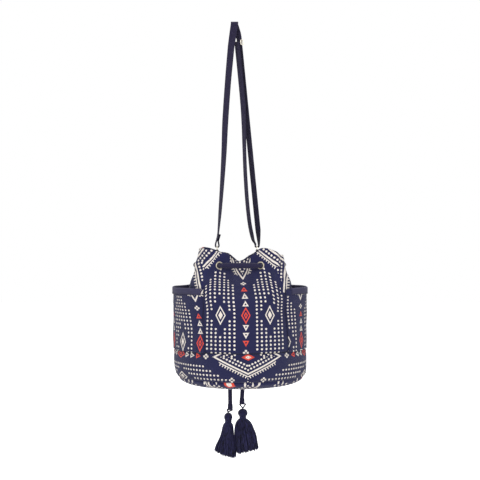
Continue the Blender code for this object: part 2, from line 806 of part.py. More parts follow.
def make_ring(side, name):
    """A flat oval wire ring in the plane of the side seam."""
    half = WEB_WIDTH / 2 + 2 * GAP + RING_WIRE
    corner = 0.0026
    top, low = ring_bar_z(), ring_bar_z() - RING_HEIGHT
    points = []
    for quarter, (y, z) in enumerate(((half - corner, top - corner), (-half + corner, top - corner),
                                      (-half + corner, low + corner), (half - corner, low + corner))):
        for share in (0.0, 0.34, 0.67, 1.0):
            turn = math.pi / 2 * (quarter + share)
            points.append(Vector((ring_centre_x(side), y + corner * math.cos(turn),
                                  z + corner * math.sin(turn))))
    return tube(name, points, RING_WIRE, pale_metal(), cyclic=True)


def make_ring_tab(side, name):
    """The cloth tab folded over a ring's lower bar and sewn inside the side seam."""
    centre = Vector((ring_centre_x(side), 0.0, ring_bar_z() - RING_HEIGHT))
    across = heading(math.pi / 2)
    stations = [(centre + Vector((-TAB_LOOP, 0, -TAB_LENGTH)), across),
                (centre + Vector((-TAB_LOOP, 0, -0.004)), across)]
    for turn in np.linspace(0.0, math.pi, 9):
        spot = centre + Vector((-TAB_LOOP * math.cos(turn), 0.0, TAB_LOOP * math.sin(turn)))
        stations.append((spot, across))
    stations.append((centre + Vector((TAB_LOOP, 0, -0.004)), across))
    stations.append((centre + Vector((TAB_LOOP, 0, -TAB_LENGTH)), across))
    return ribbon(name, stations, WEB_WIDTH - 0.002, TAB_THICK, cotton())


def motif(across, along):
    """Colour field of the print at a point of the flat cloth: 0 navy, 1 cream, 2 coral."""
    column = math.remainder(across, REPEAT_ACROSS)
    if abs(column) < 0.0065 and (abs(along) < 0.014 or 0.045 < abs(along) < 0.060):
        return 2
    if abs(column) < 0.0065 and 0.014 <= abs(along) <= 0.045:
        return 1
    rows = 0.112 - 1.75 * abs(abs(column) - REPEAT_ACROSS / 2)
    return 1 if abs(column) > 0.020 and 0.020 < abs(along) < rows else 0


def lay_print(cloth, sideways=False):
    """Give the outer faces of a cloth body its fields of cream and coral."""
    cloth.data.materials.append(print_cream())
    cloth.data.materials.append(print_coral())
    for face in cloth.data.polygons:
        middle = face.center
        turn = math.atan2(middle.x - AXIS_X, -middle.y)
        if face.normal.x * math.sin(turn) - face.normal.y * math.cos(turn) < 0.2:
            continue
        run = turn * BAND_RADIUS
        if sideways:
            index = motif(middle.z - BAND_PRINT_Z + REPEAT_ACROSS / 2, run - BAND_PRINT_SHIFT)
        else:
            index = motif(run - PRINT_SHIFT, middle.z - PRINT_CENTRE_Z)
        face.material_index = index


def clear_scene():
    for item in list(bpy.data.objects):
        bpy.data.objects.remove(item, do_unlink=True)


def main():
    clear_scene()
    lay_print(make_body_wall())
    lay_print(make_lower_band(), sideways=True)
    make_base_panel()
    for name, side in (("left", -1), ("right", 1)):
        lay_print(make_pocket(f"pocket_{name}", side))
        make_binding(f"pocket_binding_{name}", side)
        make_ring(side, f"strap_ring_{name}")
        make_ring_tab(side, f"ring_tab_{name}")
        make_tail(name)
        make_cord_end(name)
        make_tassel(name)
    make_eyelets()
    make_drawstring()
    make_strap()
    make_strap_return()
    make_slider()


main()
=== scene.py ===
"""Crossbody drawstring bucket bag: its cloth, print, cords, tassels, webbing and metal, made around the
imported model.

Metres throughout. +Z is up along the hanging strap, -Y is the bag's front.
"""
import math
from math import pi, radians

import bmesh
import bpy
import numpy as np
from bpy.props import FloatProperty, FloatVectorProperty, IntProperty, PointerProperty

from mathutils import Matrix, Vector


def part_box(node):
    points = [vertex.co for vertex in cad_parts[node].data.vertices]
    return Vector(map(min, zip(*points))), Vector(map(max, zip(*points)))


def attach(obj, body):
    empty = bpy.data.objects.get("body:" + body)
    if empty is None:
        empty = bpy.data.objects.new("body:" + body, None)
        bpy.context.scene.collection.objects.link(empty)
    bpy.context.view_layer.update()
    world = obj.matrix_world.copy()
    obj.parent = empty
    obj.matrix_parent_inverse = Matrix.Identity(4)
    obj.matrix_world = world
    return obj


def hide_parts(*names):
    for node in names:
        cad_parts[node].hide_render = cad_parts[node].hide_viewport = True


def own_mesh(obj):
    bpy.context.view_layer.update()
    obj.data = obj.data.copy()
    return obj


bl_info = {
    "name": "Crossbody Bucket Bag",
    "version": (1, 0, 0),
    "blender": (4, 5, 0),
    "location": "View3D > Sidebar > Bucket Bag",
    "description": "Makes a gathered bucket bag of printed cotton with its cords, tassels and strap",
    "category": "Add Mesh",
}

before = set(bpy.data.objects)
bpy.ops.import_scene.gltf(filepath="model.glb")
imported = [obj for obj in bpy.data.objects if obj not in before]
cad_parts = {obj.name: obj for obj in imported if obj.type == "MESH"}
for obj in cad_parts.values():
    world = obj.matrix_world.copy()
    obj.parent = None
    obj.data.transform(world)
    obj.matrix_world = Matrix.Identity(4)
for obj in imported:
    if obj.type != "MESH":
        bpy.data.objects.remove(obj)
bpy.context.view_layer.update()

MM = 0.001
SIDES = {"left": -1, "right": 1}
TAU = 2 * pi
# Clear distance between pieces, the widest step of the cloth map in a cell, and a plain place of the print
GAP = 0.0003
MAP_JUMP = 0.007
PLAIN_PLACE = (0.012, 0.030)


def box_low(node):
    """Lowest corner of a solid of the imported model."""
    return np.array(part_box(node)[0])


def box_high(node):
    """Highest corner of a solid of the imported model."""
    return np.array(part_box(node)[1])


# Body of the bag, read from the frame where a solid shows it
WALL_LOW, WALL_HIGH = box_low("body_wall"), box_high("body_wall")
AXIS_X = 0.5 * (box_low("lower_band")[0] + box_high("lower_band")[0])
SEAM_Z = WALL_LOW[2]
RIM_Z = WALL_HIGH[2]
BASE_SEAM_Z = box_low("lower_band")[2]
BASE_LOW_Z = box_low("base_panel")[2]
CORD_Z = 0.5 * (box_low("drawstring")[2] + box_high("drawstring")[2])
POCKET_TOP_Z = box_high("pocket_binding_left")[2]
BINDING_LOW_Z = box_low("pocket_binding_left")[2]
BAND_RADIUS = 0.5 * (WALL_HIGH[1] - WALL_LOW[1])
BAND_BULGE = 0.0015
BASE_RADIUS = box_high("base_panel")[1]
CLOTH = 0.0020
RIM_DIP = 0.022
SHOULDER_DROP = 0.012
NECK_RADIUS = 0.086
RIM_RADIUS = 0.079
SHOULDER_RADIUS = 0.107
LOBE_DEPTH = 0.028
STRAP_PULL = 0.0115
POCKET_TURN = radians(4.8)
POCKET_HALF_ANGLE = radians(50)
BINDING_HALF_ANGLE = radians(44)
POCKET_RADIUS = 0.1325
POCKET_CLOTH = 0.0014
SEWN_GAP = 0.0006
BINDING_CLOTH = 0.0011
EYELET_ANGLE = radians(25.5)
EYELET_BORE = 0.0050
EYELET_FLANGE = 0.0077
EYELET_RIM = 0.0011
WASHER_RADIUS = 0.0072
DRAWSTRING_RADIUS = 0.5 * (box_high("drawstring")[2] - box_low("drawstring")[2])
EXIT_REACH = 0.012
CHORD_SHARES = (0.12, 0.32, 0.68, 0.88)
WEB_WIDTH = 0.0148
WEB_THICK = 0.0016
COTTON = 0.0016


def length_choice(name, description, default):
    """A length in metres that the panel shows."""
    return FloatProperty(name=name, description=description, default=default, subtype="DISTANCE",
                         unit="LENGTH")


def colour_choice(name, description, default):
    """A linear colour that the panel shows."""
    return FloatVectorProperty(name=name, description=description, default=default, subtype="COLOR", size=3)


class BagShape(bpy.types.PropertyGroup):
    """Sizes of the cloth's folds and of its print."""
    repeat_across: length_choice("Repeat across", "Width of one repeat of the print", 0.0965)
    repeat_along: length_choice("Repeat along", "Length of one repeat of the print", 0.301)
    print_shift: length_choice("Print shift", "How far the front's print stands right", 0.011)
    print_height: length_choice("Print height", "Coral diamond above the lower seam", 0.0725)
    fold_depth: length_choice("Fold depth", "Depth of the fine gathers at the cord", 0.0016)
    slack_depth: length_choice("Slack", "Depth of the soft hollows in the full cloth", 0.0016)
    around: IntProperty(name="Cells round", description="Cells of the body cloth round the bag", default=400)
    upward: IntProperty(name="Cells up", description="Cells of the body cloth from seam to rim", default=92)


class BagColours(bpy.types.PropertyGroup):
    """Colours of the cloths, cords and metal."""
    navy: colour_choice("Navy cotton", "Ground of the printed cotton", (0.0110, 0.0120, 0.0560))
    cream: colour_choice("Cream print", "Cream of the print", (0.90, 0.83, 0.76))
    coral: colour_choice("Coral print", "Coral of the print", (0.83, 0.085, 0.050))
    strap: colour_choice("Webbing", "Navy of the strap's webbing", (0.0122, 0.0090, 0.0310))
    binding: colour_choice("Binding", "Washed navy of the pockets' bindings", (0.0400, 0.0370, 0.0820))
    cord: colour_choice("Drawstring", "Navy of the braided drawstring", (0.0220, 0.0190, 0.0620))
    yarn: colour_choice("Tassel yarn", "Dark navy of the tassels", (0.0105, 0.0100, 0.0340))
    metal: colour_choice("Pale metal", "Plate of the rings and the slider", (0.80, 0.75, 0.64))
    brass: colour_choice("Eyelet metal", "Dull plate of the eyelets and washers", (0.46, 0.41, 0.33))


class BagTassels(bpy.types.PropertyGroup):
    """Sizes of the tassels' yarn."""
    strands: IntProperty(name="Strands", description="Yarn ends in each skirt", default=460)
    thickness: length_choice("Yarn", "Radius of one yarn end", 0.00085)


GROUPS = {"bag_shape": BagShape, "bag_colours": BagColours, "bag_tassels": BagTassels}


def shape_sizes():
    """The sizes of the cloth's folds and print, as the panel has them."""
    return bpy.context.scene.bag_shape


def soft_step(value, low, high):
    """0 below low, 1 above high and a smooth S between, by 3t^2 - 2t^3."""
    share = np.clip((value - low) / (high - low), 0.0, 1.0)
    return share * share * (3 - 2 * share)


def wrapped(angle, period=TAU):
    """Angle brought to within half a period of zero."""
    return angle - period * np.round(angle / period)


def core_radius(height):
    """Mean radius of the body: full at the seam, narrowing as a 1.8 power to the shoulder, then to the
    neck."""
    share = np.clip((height - SEAM_Z) / (POCKET_TOP_Z - SEAM_Z), 0.0, 1.0)
    full = BAND_RADIUS + (SHOULDER_RADIUS - BAND_RADIUS) * share ** 1.8
    shoulder = SHOULDER_RADIUS + (NECK_RADIUS - SHOULDER_RADIUS) * soft_step(height, POCKET_TOP_Z, CORD_Z)
    neck = NECK_RADIUS + (RIM_RADIUS - NECK_RADIUS) * (height - CORD_Z) / (RIM_Z - CORD_Z)
    return np.where(height >= CORD_Z, neck, np.where(height >= POCKET_TOP_Z, shoulder, full))


def gather(height):
    """How far the neck is drawn in: 0 below the pockets' middle, 1 just above the cord."""
    return soft_step(height, POCKET_TOP_Z - 0.45 * (POCKET_TOP_Z - SEAM_Z), CORD_Z + 0.004)


def bell(value, middle, width):
    """Bell curve: 1 at the middle, and 1/e a width away from it."""
    return np.exp(-((value - middle) / width) ** 2)


def turn_bell(angle, middle, width):
    """Bell curve of an angle, its middle and its width given in degrees."""
    return bell(angle, radians(middle), radians(width))


def full_turn(steps):
    """Even angles of one turn, without the last, which is the first again."""
    return np.linspace(0.0, TAU, steps, endpoint=False)


def outward_at(angle):
    """Level directions away from the bag's axis at angles from the front."""
    return np.stack([np.sin(angle), -np.cos(angle), 0 * angle], axis=-1)


def wall_radius(angle, height):
    """Outer radius: the core plus four lobes, a cosine of four times the angle, less the strap's pull at the
    right."""
    pull = STRAP_PULL * turn_bell(wrapped(angle - pi / 2), 0, 17)
    lobes = LOBE_DEPTH * np.cos(4 * (angle - pi / 4))
    return core_radius(height) + gather(height) * (lobes - pull)


def rim_height(angle):
    """The rim dips in the front and back valleys and falls away at the right shoulder."""
    dip = RIM_DIP * turn_bell(wrapped(angle, pi), 0, 24)
    across = wall_radius(angle, CORD_Z) * np.sin(angle)
    return RIM_Z - dip - SHOULDER_DROP * soft_step(across, 0.5 * NECK_RADIUS, NECK_RADIUS)


def around_axis(angle, radius, height):
    """Points at an angle from the front, a distance from the bag's axis and a height."""
    x = AXIS_X + radius * np.sin(angle)
    y = -radius * np.cos(angle)
    return np.stack(np.broadcast_arrays(x, y, height), axis=-1)


def eyelet_angles():
    """Angle of each eyelet's centre: two beside each valley."""
    quarter = pi / 2
    return {
        "front_left": -EYELET_ANGLE, "front_right": EYELET_ANGLE,
        "side_right_front": quarter - EYELET_ANGLE, "side_right_back": quarter + EYELET_ANGLE,
        "back_right": pi - EYELET_ANGLE, "back_left": pi + EYELET_ANGLE,
        "side_left_back": -quarter - EYELET_ANGLE, "side_left_front": -quarter + EYELET_ANGLE,
    }


def eyelet_seat(name):
    """Mid-cloth centre and outward direction of an eyelet, square to the wall's plan curve."""
    angle = eyelet_angles()[name]
    step = radians(0.5)
    ahead = around_axis(angle + step, wall_radius(angle + step, CORD_Z), CORD_Z)
    behind = around_axis(angle - step, wall_radius(angle - step, CORD_Z), CORD_Z)
    run = ahead - behind
    outward = np.array([run[1], -run[0], 0.0])
    outward /= np.linalg.norm(outward)
    centre = around_axis(angle, wall_radius(angle, CORD_Z), CORD_Z) - outward * CLOTH / 2
    return centre, outward


def running(steps, axis=0):
    """Running sums along an axis, from a zero."""
    return np.insert(np.cumsum(steps, axis=axis), 0, 0.0, axis=axis)


def unit(vectors):
    """Vectors brought to the length 1."""
    return vectors / np.linalg.norm(vectors, axis=-1, keepdims=True)


def add_mesh(name, points, faces, uv):
    """Smooth mesh object from points, quads and one UV pair in metres for each corner of a quad."""
    mesh = bpy.data.meshes.new(name)
    points = np.asarray(points, dtype=np.float32).reshape(-1, 3)
    faces = np.asarray(faces, dtype=np.int32)
    mesh.vertices.add(len(points))
    mesh.vertices.foreach_set("co", points.ravel())
    mesh.loops.add(faces.size)
    mesh.loops.foreach_set("vertex_index", faces.ravel())
    mesh.polygons.add(len(faces))
    mesh.polygons.foreach_set("loop_start", np.arange(len(faces), dtype=np.int32) * faces.shape[1])
    mesh.update(calc_edges=True)
    mesh.uv_layers.new(name="Cloth").data.foreach_set("uv", np.asarray(uv, dtype=np.float32).ravel())
    mesh.shade_smooth()
    made = bpy.data.objects.new(name, mesh)
    bpy.context.scene.collection.objects.link(made)
    return made


def grid_faces(rows, columns, wrap_rows=False, wrap_columns=False):
    """Quads of a grid of rows by columns points, and the grid step of each corner for its UV."""
    row_count = rows if wrap_rows else rows - 1
    column_count = columns if wrap_columns else columns - 1
    row, column = np.meshgrid(np.arange(row_count), np.arange(column_count), indexing="ij")
    row, column = row.ravel(), column.ravel()
    corner_rows = np.stack([row, row, row + 1, row + 1], axis=1)
    corner_columns = np.stack([column, column + 1, column + 1, column], axis=1)
    faces = (corner_rows % rows) * columns + corner_columns % columns
    return faces, corner_rows, corner_columns


def add_grid(name, points, u, v, wrap_rows=False, wrap_columns=False, flip=False, keep=None):
    """Surface over a grid of points; u and v are given one step longer where the grid closes on itself.

    Where the map jumps across a cell, as at a fold, the whole cell shows one plain place of the print.
    """
    rows, columns = points.shape[:2]
    faces, corner_rows, corner_columns = grid_faces(rows, columns, wrap_rows, wrap_columns)
    uv = np.stack([u[corner_rows, corner_columns], v[corner_rows, corner_columns]], axis=-1)
    uv[np.ptp(uv, axis=1).max(axis=-1) > MAP_JUMP] = PLAIN_PLACE
    if keep is not None:
        chosen = keep[faces[:, 0]]
        faces, uv = faces[chosen], uv[chosen]
    if flip:
        faces, uv = faces[:, ::-1], uv[:, ::-1]
    return add_mesh(name, points, faces, uv.reshape(-1, 2))


def finish_cotton(skin, node, thickness=COTTON):
    """Give a skin of printed cotton its thickness, inwards from the outer face, its plain side inside."""
    finish_piece(skin, "printed_cotton", node)
    skin.data.materials.append(finish("plain_cotton"))
    wall = skin.modifiers.new("cloth_thickness", "SOLIDIFY")
    wall.thickness = thickness
    wall.offset = -1.0
    wall.use_even_offset = False
    wall.material_offset = 1
    wall.material_offset_rim = 0
    return skin


def finish_piece(made, finish_name, *replaced, body="bag"):
    """Give a piece its material and its body, and hide the solids it stands for."""
    made.data.materials.append(finish(finish_name))
    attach(made, body)
    if replaced:
        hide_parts(*replaced)
    return made


class Field:
    """A value worked out by shader nodes: arithmetic on it adds Math nodes to the material."""

    def __init__(self, tree, socket):
        self.tree = tree
        self.socket = socket

    def maths(self, operation, *others):
        """The outcome of a Math node fed with this field and with others, fields or numbers."""
        node = self.tree.nodes.new("ShaderNodeMath")
        node.operation = operation
        for slot, value in enumerate((self, *others)):
            if isinstance(value, Field):
                self.tree.links.new(value.socket, node.inputs[slot])
            else:
                node.inputs[slot].default_value = value
        return Field(self.tree, node.outputs[0])

    def __add__(self, other):
        return self.maths("ADD", other)

    def __sub__(self, other):
        return self.maths("SUBTRACT", other)

    def __mul__(self, other):
        return self.maths("MULTIPLY", other)

    def __truediv__(self, other):
        return self.maths("DIVIDE", other)

    def __abs__(self):
        return self.maths("ABSOLUTE")

    def under(self, other):
        """1 where this field is smaller, else 0."""
        return self.maths("LESS_THAN", other)

    def over(self, other):
        """1 where this field is larger, else 0."""
        return self.maths("GREATER_THAN", other)

    def wrap(self, period):
        """The value brought to within half a period of zero."""
        return self.maths("WRAP", period / 2, -period / 2)

    def union(self, other):
        """The larger of two fields."""
        return self.maths("MAXIMUM", other)

    def without(self, other):
        """This mask where the other is 0."""
        return self.maths("MULTIPLY", other.inverse())

    def inverse(self):
        """The mask of everything outside this one."""
        return (self * -1.0) + 1.0

    def between(self, low, high):
        """1 where this field lies between two values, else 0."""
        return self.over(low) * self.under(high)

    def wave(self):
        """The sine of this field."""
        return self.maths("SINE")


# The print, in mm: sizes from a shape's middle, heights above the middle of a repeat, strokes and pitches
CORAL_DIAMOND, CREAM_DIAMOND, LOZENGE = (8.8, 16.5), (10.4, 18.6), (6.8, 12.5)
DIAMOND_STROKE, LOZENGE_STROKE = 2.2, 3.0
CORAL_CORE, CREAM_CORE = (4.5, 6.5), 5.1
CORAL_TRIANGLE, CREAM_TRIANGLES = 53.0, (23.6, 38.2)
TRIANGLE_SLOPE, TRIANGLE_WIDE, TRIANGLE_HALF = 0.545, 3.0, 5.5
TRIANGLE_RIM, TRIANGLE_FLOOR = 2.5, 3.3
FIRST_CROSS, SECOND_CROSS = 70.0, 120.0
CROSS_REACH, CROSS_DOT, PRINT_DOT = 3.5, 2.15, 2.05
DOT_COLUMNS, DOT_ROWS, DOTS_WIDE = 9.0, 7.5, 31.0
DOTS_CLEAR, DOTS_SLOPE, DOTS_REACH = (24.0, 37.0), 1.75, 113.0
NESTED_LINE, THIN_LINE, TEETH = (0.0, 3.2), (-4.4, -2.4), (-8.8, -3.6)
TOOTH_PITCH, TOOTH_HALF, COMB_REACH = 5.4, 0.95, 54.0
NESTED_ROWS, NESTED_PITCH = (9.0, 16.0), 6.4
NESTED_HALF = (0.0365, 0.0670)


def diamond(across, along, half):
    """How deep a point lies in a diamond, in mm from its edge, positive inside."""
    depth = half[0] * half[1] / math.hypot(*half)
    return ((across / half[0]) + (along / half[1]) - 1.0) * -depth


def outlined(depth, stroke):
    """The band of a shape between its edge and a stroke's width inside."""
    return depth.between(0.0, stroke)


def triangle_ring(across, along, middle):
    """A triangle pointing away from the repeat's centre, with a small triangular hole."""
    rise = along - middle
    side = (rise * -TRIANGLE_SLOPE) + TRIANGLE_WIDE
    outer = (across - side).under(0.0) * abs(rise).under(TRIANGLE_HALF)
    hole = (across - side).under(-TRIANGLE_RIM) * rise.over(-TRIANGLE_FLOOR)
    return outer.without(hole)


def four_dots(across, along, middle):
    """Four dots in a cross."""
    rise = abs(along - middle)
    aside, lifted = across - CROSS_REACH, rise - CROSS_REACH
    beside = aside * aside + rise * rise
    above = across * across + lifted * lifted
    return beside.maths("MINIMUM", above).under(CROSS_DOT * CROSS_DOT)


def dotted(first, second):
    """Dots where both offsets from a dot's centre are small."""
    return (first * first + second * second).under(PRINT_DOT * PRINT_DOT)


def large_diamond(across, along):
    """The nested diamond: thick line, thin line with comb teeth outside, dot rows and a coral lozenge
    inside."""
    half_across, half_along = (half / MM for half in NESTED_HALF)
    depth = diamond(across, along, (half_across, half_along))
    run = (along * half_along - across * half_across) / math.hypot(half_across, half_along)
    comb = abs(along).under(COMB_REACH)
    lines = depth.between(*NESTED_LINE).union(depth.between(*THIN_LINE) * comb)
    teeth = depth.between(*TEETH) * abs(run.wrap(TOOTH_PITCH)).under(TOOTH_HALF) * comb
    outer_row, inner_row = (dotted(depth - row, run.wrap(NESTED_PITCH)) for row in NESTED_ROWS)
    dots = outer_row.union(inner_row)
    lozenge = diamond(across, along, LOZENGE)
    cream = lines.union(teeth).union(dots.without(lozenge.over(-2.5))).union(lozenge.over(LOZENGE_STROKE))
    return cream, outlined(lozenge, LOZENGE_STROKE)


def print_masks(across, along, repeat_across, repeat_along):
    """Masks of the cream and of the coral print at a point of the flat cloth, all in mm.

    One repeat has a column of triangles round a coral diamond, with a large nested diamond at its ends, and
    beside it a column of dots round a cream diamond.
    """
    first = abs(across.wrap(repeat_across))
    height = abs(along.wrap(repeat_along))
    second = (first * -1.0) + repeat_across / 2
    beyond = (height * -1.0) + repeat_along / 2
    depth = diamond(first, height, CORAL_DIAMOND)
    core = depth.over(CORAL_CORE[0]).without(depth.over(CORAL_CORE[1]))
    coral = outlined(depth, DIAMOND_STROKE).union(core)
    coral = coral.union(triangle_ring(first, height, CORAL_TRIANGLE))
    low, high = (triangle_ring(first, height, middle) for middle in CREAM_TRIANGLES)
    cream = low.union(high).union(four_dots(first, height, FIRST_CROSS))
    nested, heart = large_diamond(first, beyond)
    depth = diamond(second, height, CREAM_DIAMOND)
    cream = cream.union(outlined(depth, DIAMOND_STROKE)).union(depth.over(CREAM_CORE))
    aside, above = second.wrap(DOT_COLUMNS), (height + DOT_ROWS / 2).wrap(DOT_ROWS)
    column, row = second - aside, height - above
    rows = dotted(aside, above) * column.under(DOTS_WIDE)
    clear = ((row / DOTS_CLEAR[1]) + (column / DOTS_CLEAR[0])).over(1.0)
    inside = (row + column * DOTS_SLOPE).under(DOTS_REACH)
    cream = cream.union(rows * clear * inside).union(four_dots(second, height, SECOND_CROSS))
    return cream.union(nested), coral.union(heart)


def new_material(name, roughness, metallic=0.0, sheen=0.0):
    """A material with a Principled shader and its fixed values, and the shader."""
    made = bpy.data.materials.new(name)
    made.use_nodes = True
    shader = made.node_tree.nodes["Principled BSDF"]
    shader.inputs["Roughness"].default_value = roughness
    shader.inputs["Metallic"].default_value = metallic
    shader.inputs["Sheen Weight"].default_value = sheen
    shader.inputs["Specular IOR Level"].default_value = 0.5 if metallic else 0.25
    shader.inputs["Sheen Roughness"].default_value = 0.5
    return made, shader


def cloth_fields(tree):
    """Across and along of the piece's own cloth map, in mm."""
    node = tree.nodes.new("ShaderNodeUVMap")
    node.uv_map = "Cloth"
    parts = tree.nodes.new("ShaderNodeSeparateXYZ")
    tree.links.new(node.outputs[0], parts.inputs[0])
    return Field(tree, parts.outputs[0]) * 1000.0, Field(tree, parts.outputs[1]) * 1000.0


def dye(name, factor=1.0):
    """One of the bag's colours, lighter or darker by a factor."""
    return tuple(min(1.0, part * factor) for part in getattr(bpy.context.scene.bag_colours, name))


def noise(tree, scale, detail=3.0, coordinates="Object"):
    """Noise over a piece's Object coordinates, or over its cloth map, around the middle of 0 to 1."""
    place = tree.nodes.new("ShaderNodeTexCoord")
    node = tree.nodes.new("ShaderNodeTexNoise")
    node.inputs["Scale"].default_value = scale
    node.inputs["Detail"].default_value = detail
    tree.links.new(place.outputs[coordinates], node.inputs["Vector"])
    return Field(tree, node.outputs[0])


def mixed(tree, share, first, second):
    """A colour between two by a mask; each is a colour or another mix's socket."""
    node = tree.nodes.new("ShaderNodeMix")
    node.data_type = "RGBA"
    for slot, value in ((6, first), (7, second)):
        if isinstance(value, bpy.types.NodeSocket):
            tree.links.new(value, node.inputs[slot])
        else:
            node.inputs[slot].default_value = (*value, 1.0)
    tree.links.new(share.socket, node.inputs[0])
    return node.outputs[2]


def weave(across, along, pitch):
    """Plain weave: threads over and under, the product of two sines."""
    turn = TAU / pitch
    return (across * turn).wave() * (along * turn).wave()


def surfaced(made, shader, ground, height, distance):
    """A material whose shader is given its colour and its height, in units of the distance."""
    tree = made.node_tree
    bump = tree.nodes.new("ShaderNodeBump")
    bump.inputs["Distance"].default_value = distance
    tree.links.new(height.socket, bump.inputs["Height"])
    tree.links.new(bump.outputs[0], shader.inputs["Normal"])
    tree.links.new(ground, shader.inputs["Base Color"])
    return made


# Pitches of threads, ribs and plies, the webbing's firm edges and the print's drift in the threads, in mm
THREAD_PITCH = 1.5
RIB_PITCH, TWILL_PITCH, LINE_PITCH, PLY_PITCH = 1.5, 2.4, 1.2, 3.2
FIRM_EDGE = 1.3
PRINT_DRIFT = 0.9

# Heights of the bumps in metres
CANVAS_BUMP, WEBBING_BUMP, BRAID_BUMP, YARN_BUMP, PLATE_BUMP = 0.00022, 0.0002, 0.00045, 0.0002, 0.00005


def cotton_canvas(name, printed):
    """Navy cotton canvas with a woven grain, its print drawn in threads of cream and coral."""
    made, shader = new_material(name, 0.88, sheen=0.12)
    tree = made.node_tree
    across, along = cloth_fields(tree)
    grain = weave(across, along, THREAD_PITCH)
    fibre = noise(tree, 900.0, 2.0)
    ground = mixed(tree, noise(tree, 60.0), dye("navy", 0.78), dye("navy", 1.22))
    ground = mixed(tree, fibre * 0.4, ground, dye("navy", 1.7))
    height = grain
    if printed:
        drift = (fibre - 0.5) * PRINT_DRIFT
        sizes = shape_sizes()
        cream, coral = print_masks(across + drift, along + drift, sizes.repeat_across / MM,
                                   sizes.repeat_along / MM)
        # The print is darker at random wear and, as painted shade, with the weave's relief
        wear_and_weave_shade = (noise(tree, 420.0, 2.0) * 0.5 + grain * 0.12).maths("MULTIPLY", 0.42)
        ground = mixed(tree, cream, ground, mixed(tree, wear_and_weave_shade, dye("cream"), dye("cream", 0.62)))
        ground = mixed(tree, coral, ground, mixed(tree, wear_and_weave_shade, dye("coral"), dye("coral", 0.55)))
        height = grain + cream.union(coral) * 0.5
    return surfaced(made, shader, ground, height + fibre * 0.6, CANVAS_BUMP)


def ribbed_webbing(name, base):
    """Navy webbing: ribs across its length with painted highlights on their crests, a fine twill and firm
    edges.
    """
    made, shader = new_material(name, 0.82, sheen=0.05)
    tree = made.node_tree
    across, along = cloth_fields(tree)
    ribs = (along * (TAU / RIB_PITCH) + (across * (TAU / TWILL_PITCH)).wave() * 0.7).wave()
    lines = (across * (TAU / LINE_PITCH)).wave()
    edge = abs(across).over(WEB_WIDTH / MM / 2 - FIRM_EDGE)
    ground = mixed(tree, noise(tree, 140.0), dye(base, 0.75), dye(base, 1.3))
    # painted highlight: lighter on the ribs' crests
    ground = mixed(tree, (ribs + 1.0) * 0.22, ground, dye(base, 2.0))
    ground = mixed(tree, edge * 0.35, ground, dye(base, 0.5))
    return surfaced(made, shader, ground, ribs + lines * 0.5, WEBBING_BUMP)


def braided(name, base, pitch, turns):
    """Soft braid: two families of yarns crossing, the higher one showing, with painted shade in the valleys
    between them.
    """
    made, shader = new_material(name, 0.9, sheen=0.08)
    tree = made.node_tree
    across, along = cloth_fields(tree)
    left = (along * (TAU / pitch) + across * turns).wave()
    right = (along * (TAU / pitch) - across * turns).wave()
    yarns = left.union(right)
    tone = noise(tree, 260.0)
    ground = mixed(tree, tone, dye(base, 0.7), dye(base, 1.35))
    # painted shade: darker in the valleys between the higher yarns
    ground = mixed(tree, (yarns + 1.0) * 0.25, dye(base, 0.6), ground)
    return surfaced(made, shader, ground, yarns + tone * 0.5, BRAID_BUMP)


def twisted_yarn(name):
    """Matt cotton yarn, its plies turning round each strand with painted highlights on their crests, lighter
    and darker in locks as painted light and shade between the clumps, with a slow random change along each
    strand.
    """
    made, shader = new_material(name, 0.95, sheen=0.06)
    tree = made.node_tree
    across, along = cloth_fields(tree)
    plies = (along * (TAU / PLY_PITCH) + across * 1.0).wave()
    # painted light and shade: dark in the gaps between clumps and light on the clumps, round the tassel, with
    # a slow random change along each strand
    tone = (noise(tree, 110.0, 2.0, "UV") - 0.5) * 4.0 + 0.5
    ground = mixed(tree, tone, dye("yarn", 0.15), dye("yarn", 3.0))
    # painted highlight: lighter on the plies' crests
    ground = mixed(tree, (plies + 1.0) * 0.2, ground, dye("yarn", 2.2))
    return surfaced(made, shader, ground, plies, YARN_BUMP)


def plated_metal(name, base, dull):
    """Pale polished plate with faint wear."""
    made, shader = new_material(name, 0.25, metallic=1.0)
    tree = made.node_tree
    tone = noise(tree, 500.0)
    tree.links.new((tone * 0.22 + dull).socket, shader.inputs["Roughness"])
    ground = mixed(tree, tone, dye(base), dye(base, 0.82))
    return surfaced(made, shader, ground, noise(tree, 2400.0, 2.0), PLATE_BUMP)


FINISHES = {}


def finish(name):
    """One of the bag's materials, made when it is first asked for."""
    makers = {
        "printed_cotton": (cotton_canvas, True),
        "plain_cotton": (cotton_canvas, False),
        "strap_webbing": (ribbed_webbing, "strap"),
        "bound_edge": (ribbed_webbing, "binding"),
        "braided_cord": (braided, "cord", 5.2, 1.1),
        "seam_thread": (braided, "navy", 1.2, 4.0),
        "tassel_yarn": (twisted_yarn,),
        "pale_metal": (plated_metal, "metal", 0.20),
        "eyelet_metal": (plated_metal, "brass", 0.28),
    }
    if name not in FINISHES:
        maker, *choices = makers[name]
        FINISHES[name] = maker(name, *choices)
    return FINISHES[name]


def edited(made, change):
    """A piece after a change of its mesh."""
    shape = bmesh.new()
    shape.from_mesh(made.data)
    change(shape)
    shape.to_mesh(made.data)
    shape.free()
    return made


def weld(made, distance=1e-5):
    """Merge the doubled points of poles and caps."""
    return edited(made, lambda shape: bmesh.ops.remove_doubles(shape, verts=shape.verts, dist=distance))


def tidy_normals(made):
    """Turn all faces of a closed piece outwards."""
    return edited(made, lambda shape: bmesh.ops.recalc_face_normals(shape, faces=shape.faces))


def capped(points, u, v):
    """A grid with its first and last rows drawn in to their middles, so that the tube closes."""
    first, last = (np.broadcast_to(row.mean(axis=1, keepdims=True), row.shape)
                   for row in (points[:1], points[-1:]))
    return np.concatenate([first, points, last]), np.concatenate([u[:1], u, u[-1:]]), \
        np.concatenate([v[:1], v, v[-1:]])


